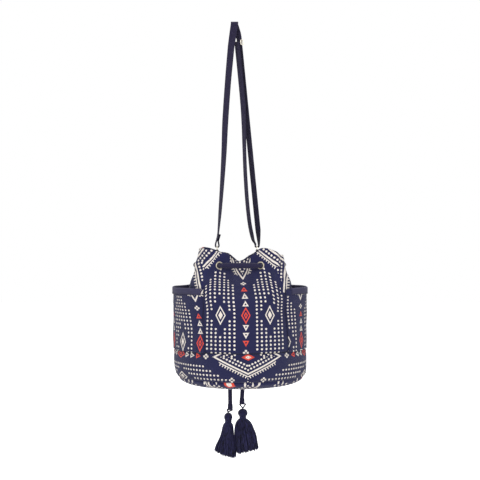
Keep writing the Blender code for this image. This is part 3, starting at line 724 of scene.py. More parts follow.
HEM_LINE_Z = -0.5385
HEM_CREASE = 0.0009
SEAM_WIDTH = 0.0035
WALL_FULLNESS = 0.0030
LEFT_HOLLOW = 0.0042
VALLEY_SWELL = 0.0045
SWELL_Z = -0.548
PLEAT_DEPTH = 0.0022
PLEATS = ((-radians(38), -radians(140)), (radians(50), radians(136)))
PLEAT_HALF = radians(2.5)


def ripple(angle, height):
    """Fine upright gathers by two sines of the angle, strongest at the cord, gone below the pockets'
    middle."""
    fine = 0.6 * np.sin(27 * angle + 1.3) + 0.4 * np.sin(43 * angle + 2.0 * np.sin(2 * angle))
    return shape_sizes().fold_depth * gather(height) ** 1.5 * fine


def slack(angle, height):
    """Soft hollows, always inwards, from sines that drift with angle and height."""
    level = (height - SEAM_Z) / (RIM_Z - SEAM_Z)
    waves = np.sin(5 * angle + 7 * level + 0.6) * np.sin(3 * angle - 9 * level)
    waves = waves + 0.5 * np.sin(11 * angle + 14 * level) * np.sin(17 * level + 2 * angle)
    return -shape_sizes().slack_depth * (0.5 + 0.33 * waves) * (1 - 0.6 * gather(height))


def seam_nip(height, seam, depth=0.0016):
    """A seam draws the cloth in by a bell curve round its height."""
    return -depth * bell(height, seam, SEAM_WIDTH)


def body_radius(angle, height):
    """Outer radius of the finished body: the plain wall with its fullness, gathers, hollows, pleats, seam and
    hem line."""
    drawn = gather(height)
    beside = 1 - 0.85 * bell(height, CORD_Z, 0.010)
    full = WALL_FULLNESS * (1 - drawn)
    full = full - LEFT_HOLLOW * turn_bell(angle, -58, 17) * drawn * beside
    full = full + VALLEY_SWELL * bell(height, SWELL_Z, 0.016) * np.cos(angle) ** 4
    pleats = sum(bell(angle, side[1], PLEAT_HALF) for side in PLEATS)
    pleats = pleats + bell(-angle, lobe_fold("left", height), PLEAT_HALF)
    pleats = pleats + bell(angle, lobe_fold("right", height), PLEAT_HALF)
    return wall_radius(angle, height) + full + ripple(angle, height) + slack(angle, height) \
        + seam_nip(height, SEAM_Z) - HEM_CREASE * bell(height, HEM_LINE_Z, 0.0016) \
        - PLEAT_DEPTH * pleats * drawn ** 0.7


LOBE_FOLDS = {
    "left": ((-0.560, 36.0), (-0.521, 36.0), (-0.489, 38.5), (-0.478, 36.5), (-0.470, 33.0), (-0.455, 29.5),
             (-0.445, 28.0)),
    "right": ((-0.560, 41.0), (-0.512, 40.0), (-0.4975, 39.3), (-0.488, 39.0), (-0.481, 37.0), (-0.475, 34.7),
              (-0.455, 27.2), (-0.445, 24.0)),
}
LOBE_FRAMES = {
    "left": ((-0.0821, -0.4744, -0.0263, 0.0, 13.0), (-0.0683, -0.4893, 0.010, 0.054, 13.0)),
    "right": ((0.0809, -0.4805, 0.0263, 0.0, -23.0), (0.0642, -0.4813, -0.019, 0.039, -25.0)),
}
# Limits of a lobe's turned print: angles from the front, heights, and depths in the nested diamond
LOBE_START, PLAIN_START, COMB_START = radians(13), radians(17), radians(19)
LOBE_END, OUTER_END = radians(60), radians(90)
LOBE_LOW_Z, OUTER_LOW_Z, OVERLAP_LOW_Z = -0.527, -0.536, -0.488
COMB_EDGE, OVERLAP_EDGE, INNER_EDGE = -0.0094, 0.0048, 0.0052
FOLD_OVERLAP = radians(4.5)


def lobe_fold(side, height):
    """Angle from the front, without sign, of the fold that crosses a lobe's front."""
    levels, angles = np.array(LOBE_FOLDS[side]).T
    return np.radians(np.interp(height, levels, angles))


def gathered_run(angle, steps):
    """Distance along each row of the wall from its front, summed from its steps."""
    run = running(steps, axis=1)
    front = np.argmin(np.abs(angle[0]))
    return run - run[:, front:front + 1]


def cloth_across(angle, run, height):
    """Across-distance on the flat cloth: the run along each gathered row from the front, with what the row
    is short of the full width taken in at two pleats on each side."""
    run = run * (1 + 0.03 * gather(height))
    full = BAND_RADIUS * pi
    short = (full + run[:, :1], full - run[:, -1:])
    taken = np.zeros_like(run)
    for side, pleats, excess in zip((-1, 1), PLEATS, short):
        for pleat in pleats:
            taken = taken + side * 0.5 * excess * (side * angle > side * pleat)
    return run + taken - shape_sizes().print_shift + 0.0065 * gather(height)


def framed_cloth(frame_of_lobe, seen, height):
    """Cloth map turned about a place. The frame has the place's across and height, its cloth map and the turn
    in degrees."""
    place, level, across, beyond, turn = frame_of_lobe
    right, down = seen - place, level - height
    cosine, sine = math.cos(radians(turn)), math.sin(radians(turn))
    return across + cosine * right + sine * down, \
        shape_sizes().repeat_along / 2 - beyond - (cosine * down - sine * right)


def print_depth(across, along):
    """How deep a place of the cloth lies in the large nested diamond, in metres from its edge."""
    repeat, length = shape_sizes().repeat_across, shape_sizes().repeat_along
    beside = np.abs(wrapped(across, repeat)) / NESTED_HALF[0]
    beyond = (length / 2 - np.abs(wrapped(along, length))) / NESTED_HALF[1]
    return (1 - beside - beyond) * NESTED_HALF[0] * NESTED_HALF[1] / math.hypot(*NESTED_HALF)


def lobe_cloth(side, angle, seen, height, across, along):
    """Cloth map of one lobe: the print's nested diamond stands turned there, so two frames replace the plain
    map, one on each side of the fold that hides the diamond's middle, up to the side valley. Between the
    diamond and the rows of dots the cloth is left plain."""
    outer_frame, front_frame = LOBE_FRAMES[side]
    turned = angle * SIDES[side]
    drawn = (turned > LOBE_START) & (turned < LOBE_END) & (height > LOBE_LOW_Z)
    u, v = framed_cloth(front_frame, seen, height)
    depth = print_depth(u, v)
    comb = drawn & (depth > COMB_EDGE) & (turned > COMB_START)
    plain = drawn & ~comb & ((print_depth(across, along) > COMB_EDGE) | (height > CORD_Z + 0.004))
    plain = plain & (turned > PLAIN_START)
    overlap = np.where(comb & (depth < OVERLAP_EDGE) & (height > OVERLAP_LOW_Z), FOLD_OVERLAP, 0.0)
    outer = (turned > lobe_fold(side, height) + overlap) & (height > OUTER_LOW_Z) & (turned < OUTER_END)
    outer = outer | (comb & (depth > INNER_EDGE))
    across, along = np.where(comb, u, across), np.where(comb, v, along)
    across, along = np.where(plain, PLAIN_PLACE[0], across), np.where(plain, PLAIN_PLACE[1], along)
    u, v = framed_cloth(outer_frame, seen, height)
    return np.where(outer, u, across), np.where(outer, v, along)


# How far the print lags behind the plain wall at the lobes, in the valleys and in the neck
LOBE_LAG, VALLEY_LAG, NECK_LAG = 0.014, 0.0030, 0.0100


def cloth_lag(angle, height):
    """How much more cloth than the plain wall's lies below a point: S steps of the height, most at the lobes,
    where the slack cloth folds over, and less in the front and back valleys."""
    seen = np.abs(np.arcsin(np.sin(angle)))
    lobes = soft_step(seen, radians(27), radians(40)) * soft_step(height, -0.600, -0.530)
    valley = -VALLEY_LAG * soft_step(height, -0.560, -0.535) * turn_bell(seen, 0, 17)
    return LOBE_LAG * lobes + valley + NECK_LAG * soft_step(height, -0.531, -0.508)


# The rim's raised places, as height, angle and width in degrees, and its waves, as height, number and shift
RIM_CORNERS = ((0.0055, -42, 17), (0.0032, -18, 6), (0.0100, 35, 15))
RIM_WAVES = ((0.0007, 13, 1.0), (0.0004, 29, 0.0))


def soft_rim(angle):
    """The rim's height with its raised corners, bell curves of the angle seen from the front, and waves."""
    seen = np.arcsin(np.sin(angle))
    corners = sum(tall * turn_bell(seen, middle, width) for tall, middle, width in RIM_CORNERS)
    waves = sum(tall * np.sin(number * angle + shift) for tall, number, shift in RIM_WAVES)
    return rim_height(angle) + corners + waves


def whole_round(steps):
    """A row of angles from the back by the front to the back again."""
    return np.linspace(-pi, pi, steps + 1)[None, :]


LEAST_SEEN = 0.45
HOLE_OVERLAP = 0.0016
HOLE_REACH = 0.012


def make_body():
    """The gathered upper body: a skin over angle and height, with holes left for the eyelets, given its
    thickness."""
    sizes = shape_sizes()
    angle = whole_round(sizes.around)
    level = np.linspace(0.0, 1.0, sizes.upward)[:, None] ** 0.94
    height = SEAM_Z + GAP + (soft_rim(angle) - SEAM_Z - GAP) * level
    points = around_axis(angle, body_radius(angle, height), height)[:, :-1]
    plain = around_axis(angle, wall_radius(angle, height), height)
    risen = running(np.linalg.norm(np.diff(plain, axis=0), axis=-1))
    sideways = np.diff(plain, axis=1)
    steps = np.linalg.norm(sideways, axis=-1)
    seen = gathered_run(angle, np.maximum(sideways[..., 0], LEAST_SEEN * steps))
    u = cloth_across(angle, gathered_run(angle, steps), height)
    v = risen - sizes.print_height + cloth_lag(angle, height)
    for side in LOBE_FRAMES:
        u, v = lobe_cloth(side, angle, seen, height, u, v)
    keep = np.ones(points.shape[:2], dtype=bool)
    for name in eyelet_angles():
        centre, outward = eyelet_seat(name)
        offset = points - centre
        along = offset @ outward
        away = np.linalg.norm(offset - along[..., None] * outward, axis=-1)
        keep &= (away > EYELET_FLANGE - HOLE_OVERLAP) | (np.abs(along) > HOLE_REACH)
    body = add_grid("bag_body_cloth", points, u, v, wrap_columns=True, keep=keep.ravel())
    return finish_cotton(body, "body_wall")


BAND_FULLNESS = 0.0032
BAND_PRINT_SHIFT = 0.015
BAND_PRINT_Z = -0.6545
BAND_PRINT_SCALE = 1.11
BASE_PRINT_PLACE = (0.0035, 0.0096)
CORNER_FULLNESS = 0.0045
BAND_SOFTNESS = 0.0009
BAND_CELLS, BASE_CELLS, POCKET_ROWS = (360, 30), (240, 44), 66
BASE_LIFT = 0.0022
BASE_NIP = 0.0010


def right_corner(angle, height):
    """The band and base stand a little fuller at their lower right, by two bell curves."""
    return CORNER_FULLNESS * turn_bell(angle, 95, 40) * bell(height, BASE_SEAM_Z, 0.020)


def band_radius(angle, height):
    """Outer radius of the lower band: it swells by a sine and draws in by a cube towards the base."""
    share = (SEAM_Z - height) / (SEAM_Z - BASE_SEAM_Z)
    plain = BAND_RADIUS + (BASE_RADIUS - BAND_RADIUS) * share ** 3 + BAND_BULGE * np.sin(pi * share)
    waves = np.sin(7 * angle + 3 * share) + 0.6 * np.sin(16 * angle - 4 * share + 1.0)
    soft = -BAND_SOFTNESS * (0.6 + 0.4 * waves) * np.sin(pi * np.clip(share, 0, 1))
    return plain + BAND_FULLNESS + right_corner(angle, height) + soft \
        + seam_nip(height, SEAM_Z) + seam_nip(height, BASE_SEAM_Z, depth=0.0012)


def make_band():
    """The lower band: the same cloth turned sideways, its large diamond at the front."""
    angle = whole_round(BAND_CELLS[0])
    height = np.linspace(BASE_SEAM_Z, SEAM_Z - GAP, BAND_CELLS[1])[:, None] * np.ones_like(angle)
    points = around_axis(angle, band_radius(angle, height), height)
    u = (height - BAND_PRINT_Z) * BAND_PRINT_SCALE
    v = np.broadcast_to(angle * BAND_RADIUS, height.shape) - BAND_PRINT_SHIFT + shape_sizes().repeat_along / 2
    return finish_cotton(add_grid("lower_band_cloth", points[:, :-1], u, v, wrap_columns=True), "lower_band")


def make_base():
    """The soft base: a bowl that drops fast under its seam and lies nearly flat in the middle."""
    sag = BASE_SEAM_Z - GAP - BASE_LOW_Z - BASE_LIFT
    share = 1 - np.linspace(0.0, 1.0, BASE_CELLS[1])[:, None] ** 1.8
    angle = whole_round(BASE_CELLS[0])
    drop = sag * (1 - share ** 6) ** 0.52 * (1 - 0.05 * np.sin(3 * angle + 8 * share) ** 2 * (1 - share))
    radius = (BASE_RADIUS + right_corner(angle, BASE_SEAM_Z)) * share - BASE_NIP * bell(1 - share, 0.0, 0.01)
    points = around_axis(angle, radius, BASE_SEAM_Z - GAP - drop + 0.0 * angle)
    u = points[..., 1] + BASE_RADIUS - BASE_PRINT_PLACE[0]
    v = points[..., 0] + BASE_PRINT_PLACE[1] + shape_sizes().repeat_along / 2
    base = add_grid("base_cloth", points[:, :-1], u, v, wrap_columns=True, flip=True)
    return finish_cotton(weld(base, 2e-5), "base_panel")


POCKET_PRINT = {"left": (0.1165, -0.6305), "right": (-0.0719, -0.629)}
FRONT_EDGE = {"left": radians(54.5), "right": POCKET_HALF_ANGLE}
FRONT_CUT = radians(4.2)
LEFT_PRINT_LEAN = 0.0185
POCKET_SOFTNESS = 0.0013
BINDING_SAG = 0.0006
POCKET_COLUMNS = {"left": 125, "right": 121}
POCKET_SKIN = 0.0011


def pocket_radius(angle, turn, height):
    """Inner radius of a side pocket: on the wall at its seams, proud of it between, by a fourth power."""
    seat = wall_radius(angle, height) + WALL_FULLNESS * (1 - gather(height)) + SEWN_GAP
    share = np.clip(np.abs(turn) / POCKET_HALF_ANGLE, 0.0, 1.0)
    fullness = (1 - share ** 4) * soft_step(height, SEAM_Z, SEAM_Z + 0.020)
    return seat + np.maximum(POCKET_RADIUS + 0.0012 - POCKET_CLOTH - seat, 0.0) * fullness


def pocket_place(side, turn, height, out):
    """Point of a pocket's cloth, out from its inner face, with soft hollows that fade at its edges."""
    angle = side * pi / 2 + POCKET_TURN + turn
    share = np.abs(turn) / POCKET_HALF_ANGLE
    level = (height - SEAM_Z) / (POCKET_TOP_Z - SEAM_Z)
    waves = np.sin(9 * turn + 6 * level * side) * np.sin(8 * level + 2 * turn)
    waves = waves + 0.6 * np.sin(15 * turn * side - 9 * level)
    inside = np.clip(1 - share ** 6, 0, 1) * np.sin(pi * np.clip(level * 0.9, 0, 1))
    soft = -POCKET_SOFTNESS * (0.6 + 0.4 * waves) * inside
    return around_axis(angle, pocket_radius(angle, turn, height) + out + soft, height)


def pocket_top(turn, side):
    """The bound edge stands level and sags a little between the seams."""
    return POCKET_TOP_Z - BINDING_SAG * np.cos(2.2 * turn) - BINDING_SAG + 0.0004 * np.sin(9 * turn * side)


def pocket_front(name, height):
    """Turn of a pocket's front edge: the left one's stands further back, most at its top, by an S step."""
    if name == "right":
        return POCKET_HALF_ANGLE + 0.0 * height
    return FRONT_EDGE[name] - FRONT_CUT * soft_step(height, -0.63, -0.575)


def make_pocket(name):
    """A patch pocket: a skin over turn and height, standing away from the drawn neck."""
    side = SIDES[name]
    front = FRONT_EDGE[name]
    turn = np.linspace(-POCKET_HALF_ANGLE, front, POCKET_COLUMNS[name])[None, :]
    top = pocket_top(turn, side) - BINDING_CLOTH - GAP
    height = SEAM_Z + GAP + (top - SEAM_Z - GAP) * np.linspace(0.0, 1.0, POCKET_ROWS)[:, None]
    wide = (pocket_front(name, height) + POCKET_HALF_ANGLE) / (front + POCKET_HALF_ANGLE)
    turn = (turn + POCKET_HALF_ANGLE) * wide - POCKET_HALF_ANGLE
    points = pocket_place(side, turn, height, POCKET_CLOTH)
    shift, centre = POCKET_PRINT[name]
    lean = LEFT_PRINT_LEAN * soft_step(height, -0.62, -0.53) if name == "left" else 0.0
    u = turn * POCKET_RADIUS - shift + lean + 0.0 * height
    v = (height - centre) * (1 + 0.10 * soft_step(height, -0.60, -0.54))
    return finish_cotton(add_grid(f"pocket_cloth_{name}", points, u, v), f"pocket_{name}", POCKET_SKIN)


def make_binding(name):
    """Navy binding folded over a pocket's edge: a U section carried along the edge, lightly puckered."""
    side = SIDES[name]
    front = BINDING_HALF_ANGLE + (FRONT_EDGE[name] - POCKET_HALF_ANGLE)
    turn = np.linspace(-BINDING_HALF_ANGLE, front, 171)[:, None]
    tall = POCKET_TOP_Z - BINDING_LOW_Z - 0.0017
    near, far = -SEWN_GAP, POCKET_CLOTH + SEWN_GAP
    arc = np.linspace(0.0, pi, 9)
    middle, half = 0.5 * (near + far), 0.5 * (far - near)
    outs = np.concatenate([[far], [far + BINDING_CLOTH], middle + (half + BINDING_CLOTH) * np.cos(arc),
                           [near - BINDING_CLOTH], [near], middle + half * np.cos(arc[::-1])])
    drops = np.concatenate([[tall], [tall], 0.0024 * (1 - np.sin(arc)), [tall], [tall],
                            0.0011 + 0.0026 * (1 - np.sin(arc[::-1]))])
    pucker = 0.00022 * np.sin(230 * turn) * (drops > 0.004)
    height = pocket_top(turn, side) + BINDING_SAG - drops[None, :]
    points = pocket_place(side, turn, height, outs[None, :] + pucker)
    u = np.broadcast_to(np.append(drops, drops[0])[None, :], (len(turn), len(drops) + 1))
    v = np.broadcast_to(turn * POCKET_RADIUS, u.shape)
    binding = weld(add_grid(f"binding_{name}", *capped(points, u, v), wrap_columns=True))
    return finish_piece(binding, "bound_edge", f"pocket_binding_{name}")


EYELET_STEPS = 40


def ring_about(centre, outward, profile):
    """A closed profile of (radius, height) turned about an axis: a grid of turn by profile points."""
    across = unit(np.cross(outward, [0.0, 0.0, 1.0]))
    turn = full_turn(EYELET_STEPS)[:, None]
    spoke = np.cos(turn) * across + np.sin(turn) * np.cross(across, outward)
    return centre + spoke[:, None, :] * profile[None, :, :1] + outward * profile[None, :, 1:]


def rounded_flange():
    """Eyelet section: a straight barrel and a flange whose face is an arc."""
    reach = CLOTH / 2
    arc = np.linspace(0.0, pi, 12)
    middle = 0.5 * (EYELET_BORE + EYELET_FLANGE)
    half = 0.5 * (EYELET_FLANGE - EYELET_BORE)
    face = np.stack([middle + half * np.cos(arc),
                     reach + 0.0002 + (EYELET_RIM + 0.0002) * np.sin(arc)], axis=1)
    barrel = [(EYELET_BORE, -reach - 0.0009), (EYELET_BORE + 0.0006, -reach - 0.0011),
              (EYELET_BORE + 0.0008, reach - 0.0001), (EYELET_FLANGE, reach - 0.0001)]
    return np.concatenate([face, np.array(barrel)])


def make_eyelet(name):
    """One eyelet: its rounded flange and barrel turned about the hole's axis, and its washer inside."""
    centre, outward = eyelet_seat(name)
    reach = CLOTH / 2
    washer = np.array([(0.0061, -reach), (0.0061, -reach - 0.0006), (0.0066, -reach - 0.0009),
                       (WASHER_RADIUS, -reach - 0.0006), (WASHER_RADIUS, -reach)])
    for form, profile in (("eyelet", rounded_flange()), ("washer", washer)):
        zero = np.zeros((EYELET_STEPS + 1, len(profile) + 1))
        piece = add_grid(f"{form}_plate_{name}", ring_about(centre, outward, profile), zero, zero,
                         wrap_rows=True, wrap_columns=True)
        finish_piece(tidy_normals(piece), "eyelet_metal", f"{form}_{name}")


def tube_mesh(name, centres, first, second, radius, sides, map_step, map_shift, lengths):
    """Many thin tubes in one mesh: a ring of even points about each place of each line of centres, in two
    directions square to it. The map has one step round all tubes, and a shift and lengths for each."""
    count, steps = centres.shape[:2]
    turn = full_turn(sides)[:, None]
    ring = first[:, :, None] * np.cos(turn) + second[:, :, None] * np.sin(turn)
    points = centres[:, :, None] + ring * radius[None, :, None, None]
    faces, corner_rows, corner_columns = grid_faces(steps, sides, wrap_columns=True)
    faces = (faces[None] + steps * sides * np.arange(count)[:, None, None]).reshape(-1, 4)
    u = (corner_columns * map_step)[None] + map_shift[:, None, None]
    uv = np.stack(np.broadcast_arrays(u, lengths[:, corner_rows]), axis=-1)
    return add_mesh(name, points, faces, uv.reshape(-1, 2))


STITCH_SIDES = 6


def stitch_row(name, places, outward, length=0.0026, pitch=0.0040, radius=0.00030):
    """Thread stitches along a line: each a short six-sided grain that rises by a sine from the cloth."""
    run = run_lengths(places)
    count = max(int(run[-1] / pitch), 1)
    start = (np.arange(count) + 0.5) * run[-1] / count
    share = np.linspace(-0.5, 0.5, STITCH_SIDES)
    marks = start[:, None] + share[None, :] * length
    centre, facing = (np.stack([np.interp(marks, run, line[:, axis]) for axis in range(3)], axis=-1)
                      for line in (places, outward))
    facing = unit(facing)
    across = unit(np.cross(unit(np.gradient(centre, axis=1)), facing))
    width = radius * np.sqrt(np.clip(1 - (2 * share) ** 4, 0.02, 1))
    lift = radius * (1.4 * np.cos(pi * share) - 0.5)
    lengths = np.broadcast_to(np.arange(STITCH_SIDES) * 0.0005, (count, STITCH_SIDES))
    made = tube_mesh(name, centre + facing * lift[None, :, None], across, facing, width, STITCH_SIDES, 0.001,
                     np.zeros(count), lengths)
    return finish_piece(made, "seam_thread")


LEFT_ARM = np.array([
    (-32.5, -0.8, -421.0, -80), (-29.2, -1.8, -383.0, -67), (-24.8, -3.0, -323.0, -57),
    (-21.0, -4.0, -261.0, -46), (-18.4, -4.6, -199.0, -36), (-13.0, -5.0, -120.0, -34),
    (-6.6, -5.0, -48.0, -24)])
PEG_RADIUS = 0.0040
WEB_LOOP = 0.0035
END_TAB = 0.023
RUN_TURN = radians(-48)
RING_TURN = radians(-82)
RUN_START = np.array([0.0090, 0.0030, -0.0300])
RUN_END = np.array([0.0470, 0.0006, -0.4150])
SLIDER_DROP = 0.0110
SLIDER_HEIGHT = 0.0110
SLIDER_RAIL = 0.0009
BACK_BAR_RADIUS = 0.0008
BAR_RADIUS = 0.0011
RING_WIRE = 0.0012
TAB_LOOP = 0.0022
TAB_THICK = 0.0012
WIRE_SIDES = 12
WEB_STEP = 0.0016


def smooth_route(knots, count):
    """Even points along a Catmull-Rom curve through the knots."""
    knots = np.asarray(knots, dtype=float)
    padded = np.vstack([2 * knots[:1] - knots[1:2], knots, 2 * knots[-1:] - knots[-2:-1]])
    share = np.linspace(0.0, 1.0, 24, endpoint=False)[None, :, None]
    before, start, end, after = (padded[step:step + len(knots) - 1, None, :] for step in range(4))
    square = (2 * before - 5 * start + 4 * end - after) * share ** 2
    cube = (3 * start - before - 3 * end + after) * share ** 3
    dense = 0.5 * (2 * start + (end - before) * share + square + cube)
    return resampled(np.vstack([dense.reshape(-1, 3), knots[-1:]]), count)


def run_lengths(points):
    """Length along a line of points, from its first."""
    return running(np.linalg.norm(np.diff(points, axis=0), axis=-1))


def resampled(points, count):
    """Even points along a line of points of any width."""
    lengths = run_lengths(points[:, :3])
    marks = np.linspace(0.0, lengths[-1], count)
    return np.stack([np.interp(marks, lengths, points[:, axis]) for axis in range(points.shape[1])], axis=1)


def rounded_section(width, thick):
    """Closed section of webbing: two flat sides joined by half-round edges, as (across, out) pairs."""
    half, edge = width / 2 - thick / 2, thick / 2
    arc = np.linspace(-pi / 2, pi / 2, 7)
    flat = np.linspace(-half, half, 9)[1:-1]
    right = np.stack([half + edge * np.cos(arc), edge * np.sin(arc)], axis=1)
    top = np.stack([flat[::-1], np.full(7, edge)], axis=1)
    under = np.stack([flat, np.full(7, -edge)], axis=1)
    return np.concatenate([right, top, -right, under])


def webbing_sweep(name, stations, width, thick):
    """Webbing swept along (x, y, z, turn) stations, its section turned to each width direction. The map goes
    across the webbing and along it."""
    stations = np.asarray(stations)
    stations = resampled(stations, max(int(run_lengths(stations[:, :3])[-1] / WEB_STEP), 20))
    centre, turn = stations[:, :3], smoothed(stations[:, 3], 5)
    ahead = unit(np.gradient(centre, axis=0))
    across = np.stack([np.cos(turn), np.sin(turn), 0 * turn], axis=1)
    across = unit(across - ahead * np.sum(across * ahead, axis=1, keepdims=True))
    face = unit(np.cross(ahead, across))
    section = rounded_section(width, thick)
    points = centre[:, None] + across[:, None] * section[None, :, :1] + face[:, None] * section[None, :, 1:]
    u = np.broadcast_to(np.append(section[:, 0], section[0, 0])[None, :], (len(points), len(section) + 1))
    v = np.broadcast_to(run_lengths(centre)[:, None], u.shape)
    return tidy_normals(weld(add_grid(name, *capped(points, u, v), wrap_columns=True)))


def smoothed(values, width):
    """Running mean that keeps the ends."""
    padded = np.pad(values, width // 2, mode="edge")
    return np.convolve(padded, np.ones(width) / width, mode="valid")


def ring_centre_x(side):
    """Where the strap's ring hangs, inside the side valley of the rim."""
    name = "strap_ring_right" if side > 0 else "strap_ring_left"
    return 0.5 * (box_low(name)[0] + box_high(name)[0])


def fold_centre_z():
    """Height of the middle of the webbing's fold round a ring."""
    return box_low("strap")[2] + WEB_LOOP + WEB_THICK / 2


def ring_fold(side):
    """Half turn of the webbing under a ring's upper bar, from inside to outside."""
    turn = np.linspace(0.0, pi, 13)
    x = ring_centre_x(side) - side * WEB_LOOP * np.cos(turn)
    z = fold_centre_z() - WEB_LOOP * np.sin(turn)
    return np.stack([x, 0 * turn, z, 0 * turn + RING_TURN], axis=1)


def strap_stations():
    """The main run: end tab, left ring, left arm, half turn at the origin, straight run, right ring."""
    left, right = ring_centre_x(-1), ring_centre_x(1)
    fold = fold_centre_z()
    tab = np.array([(left + 0.0050, 0, fold + END_TAB, radians(-72)),
                    (left + 0.0036, 0, fold + 0.018, radians(-74)),
                    (left + 0.0019, 0, fold + 0.0095, RING_TURN),
                    (left + 0.0031, 0, fold + 0.004, RING_TURN)])
    rise = np.array([(left - 0.0031, 0, fold + 0.004, RING_TURN),
                     (left - 0.0016, 0, fold + 0.0095, RING_TURN),
                     (left + 0.0012, -0.0003, fold + 0.018, radians(-76))])
    arm = smooth_route(LEFT_ARM[:, :3] * MM, 60)
    turn = np.radians(np.interp(arm[:, 2], LEFT_ARM[:, 2] * MM, LEFT_ARM[:, 3]))
    bend = np.linspace(0.0, pi, 17)
    radius = PEG_RADIUS + WEB_THICK / 2
    peg = np.stack([0 * bend, -radius * np.cos(bend), -PEG_RADIUS + radius * np.sin(bend), 0 * bend], axis=1)
    behind = np.array([(0.0035, radius, -0.0140, radians(-16)), (0.0070, 0.0040, -0.0230, radians(-36))])
    share = np.linspace(0.0, 1.0, 9)[:, None]
    run = np.hstack([RUN_START + (RUN_END - RUN_START) * share, np.full((9, 1), RUN_TURN)])
    down = np.array([(right + WEB_LOOP - 0.0008, 0.0002, -0.4270, radians(-60)),
                     (right + WEB_LOOP, 0, fold + 0.006, radians(-74))])
    foot = np.array([(right - WEB_LOOP, 0, return_foot_z() - GAP, RING_TURN)])
    return np.vstack([tab, ring_fold(-1), rise, np.column_stack([arm, turn]), peg, behind, run, down,
                      ring_fold(1)[::-1], foot])


FOOT_RISE = 0.0012
SLACK_RUN = np.array([
    (0.974, 0.0205), (0.917, 0.0216), (0.844, 0.0216), (0.761, 0.0204), (0.688, 0.0188), (0.60, 0.0160),
    (0.53, 0.0132), (0.46, 0.0103), (0.34, 0.0070)])


def return_foot_z():
    """Height where the return takes over from the main run's end, just over the ring."""
    return fold_centre_z() + FOOT_RISE


def run_frame():
    """Directions of the straight run: along it, across the webbing, and out from its front face."""
    along = unit(RUN_END - RUN_START)
    across = np.array([math.cos(RUN_TURN), math.sin(RUN_TURN), 0.0])
    across = unit(across - along * np.dot(across, along))
    front = np.cross(across, along)
    return along, across, front if front[1] < 0 else -front


def bar_offset():
    """Distance of the slider's middle bar in front of the webbing's centre."""
    return WEB_THICK / 2 + 1.5 * GAP + WEB_THICK + GAP + BAR_RADIUS


def return_foot():
    """Place where the return starts at the right ring."""
    return np.array([ring_centre_x(1) - WEB_LOOP, 0.0, return_foot_z()])


def return_stations():
    """The return: from its foot at the ring, slack before the run, its end folded round the middle bar."""
    along, _, front = run_frame()
    length = np.linalg.norm(RUN_END - RUN_START)
    foot = return_foot()
    fold = BAR_RADIUS + GAP + WEB_THICK / 2
    hang = bar_offset() + fold
    slack_run = np.vstack([SLACK_RUN, [(0.20, hang), (0.08, hang)]])
    first = np.array([(-0.0004, 0, 0.0025), (-0.0024, -0.0020, 0.0055), (-0.0050, -0.0060, 0.0110),
                      (-0.0070, -0.0105, 0.0200)])
    hanging = RUN_START + along * length * slack_run[:, :1] + front * slack_run[:, 1:]
    route = smooth_route(np.vstack([foot + first, hanging]), 80)
    levels = [foot[2], foot[2] + 0.020, -0.26, -0.16]
    turn = np.radians(np.interp(route[:, 2], levels, [-82, -62, -64, -48]))
    legs = np.array([(*foot, RING_TURN), (*(foot + np.array([0, 0, FOOT_RISE])), RING_TURN)])
    bar = RUN_START + along * SLIDER_DROP + front * bar_offset()
    bend = np.linspace(0.0, pi, 13)[:, None]
    arc = bar + front * fold * np.cos(bend) - along * fold * np.sin(bend)
    tail = np.stack([bar - front * fold + along * reach for reach in (0.008, 0.016)])
    end = np.vstack([arc, tail])
    return np.vstack([legs, np.column_stack([route, turn]),
                      np.column_stack([end, np.full(len(end), RUN_TURN)])])


def make_webbing():
    """The strap's main run and its return, swept from rounded sections."""
    runs = (("run", strap_stations(), "strap"), ("return", return_stations(), "strap_return"))
    for name, stations, node in runs:
        webbing = webbing_sweep(f"strap_webbing_{name}", stations, WEB_WIDTH, WEB_THICK)
        finish_piece(webbing, "strap_webbing", node)
    tuple(-run_frame()[0])
    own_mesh(webbing)


def round_tube(points, radius, steps, closed=False, seed_normal=(0.0, 1.0, 0.0)):
    """Tube round a line of points: rings square to it, kept from twisting by carrying one direction along."""
    points = np.asarray(points, dtype=float)
    if closed:
        ahead = unit(np.roll(points, -1, axis=0) - np.roll(points, 1, axis=0))
    else:
        ahead = unit(np.gradient(points, axis=0))
    first = carried_normals(ahead, np.asarray(seed_normal, dtype=float))
    second = np.cross(ahead, first)
    turn = full_turn(steps)[None, :, None]
    radius = np.broadcast_to(np.asarray(radius, dtype=float), (len(points),))[:, None, None]
    return points[:, None] + (first[:, None] * np.cos(turn) + second[:, None] * np.sin(turn)) * radius


def carried_normals(ahead, seed):
    """A direction square to each step of a line, turned as little as can be from one step to the next."""
    normals = np.empty_like(ahead)
    held = seed
    for step, heading in enumerate(ahead):
        held = held - heading * np.dot(held, heading)
        held = held / np.linalg.norm(held)
        normals[step] = held
    return normals


def add_tube(name, points, radius, steps=16, closed=False):
    """A tube object, with flat caps drawn in to their middles where it ends. Its map goes round and along."""
    rings = round_tube(points, radius, steps, closed)
    along = run_lengths(np.vstack([points, points[:1]]) if closed else points)
    u = np.linspace(0.0, TAU * float(np.mean(radius)), steps + 1)[None, :]
    u = np.broadcast_to(u, (len(along), steps + 1))
    v = np.broadcast_to(along[:, None], u.shape)
    if closed:
        return tidy_normals(add_grid(name, rings, u, v, wrap_rows=True, wrap_columns=True))
    return tidy_normals(weld(add_grid(name, *capped(rings, u, v), wrap_columns=True)))


def rounded_oblong(half_wide, half_tall, corner, steps):
    """Wide and tall of points round an oblong about the origin with quarter-round corners."""
    turn = full_turn(steps)
    wide = np.sign(np.cos(turn)) * (half_wide - corner) + corner * np.cos(turn)
    tall = np.sign(np.sin(turn)) * (half_tall - corner) + corner * np.sin(turn)
    return wide, tall


def closed_line(points, count):
    """Even points round a closed line, the first not repeated."""
    return resampled(np.vstack([points, points[:1]]), count + 1)[:-1]


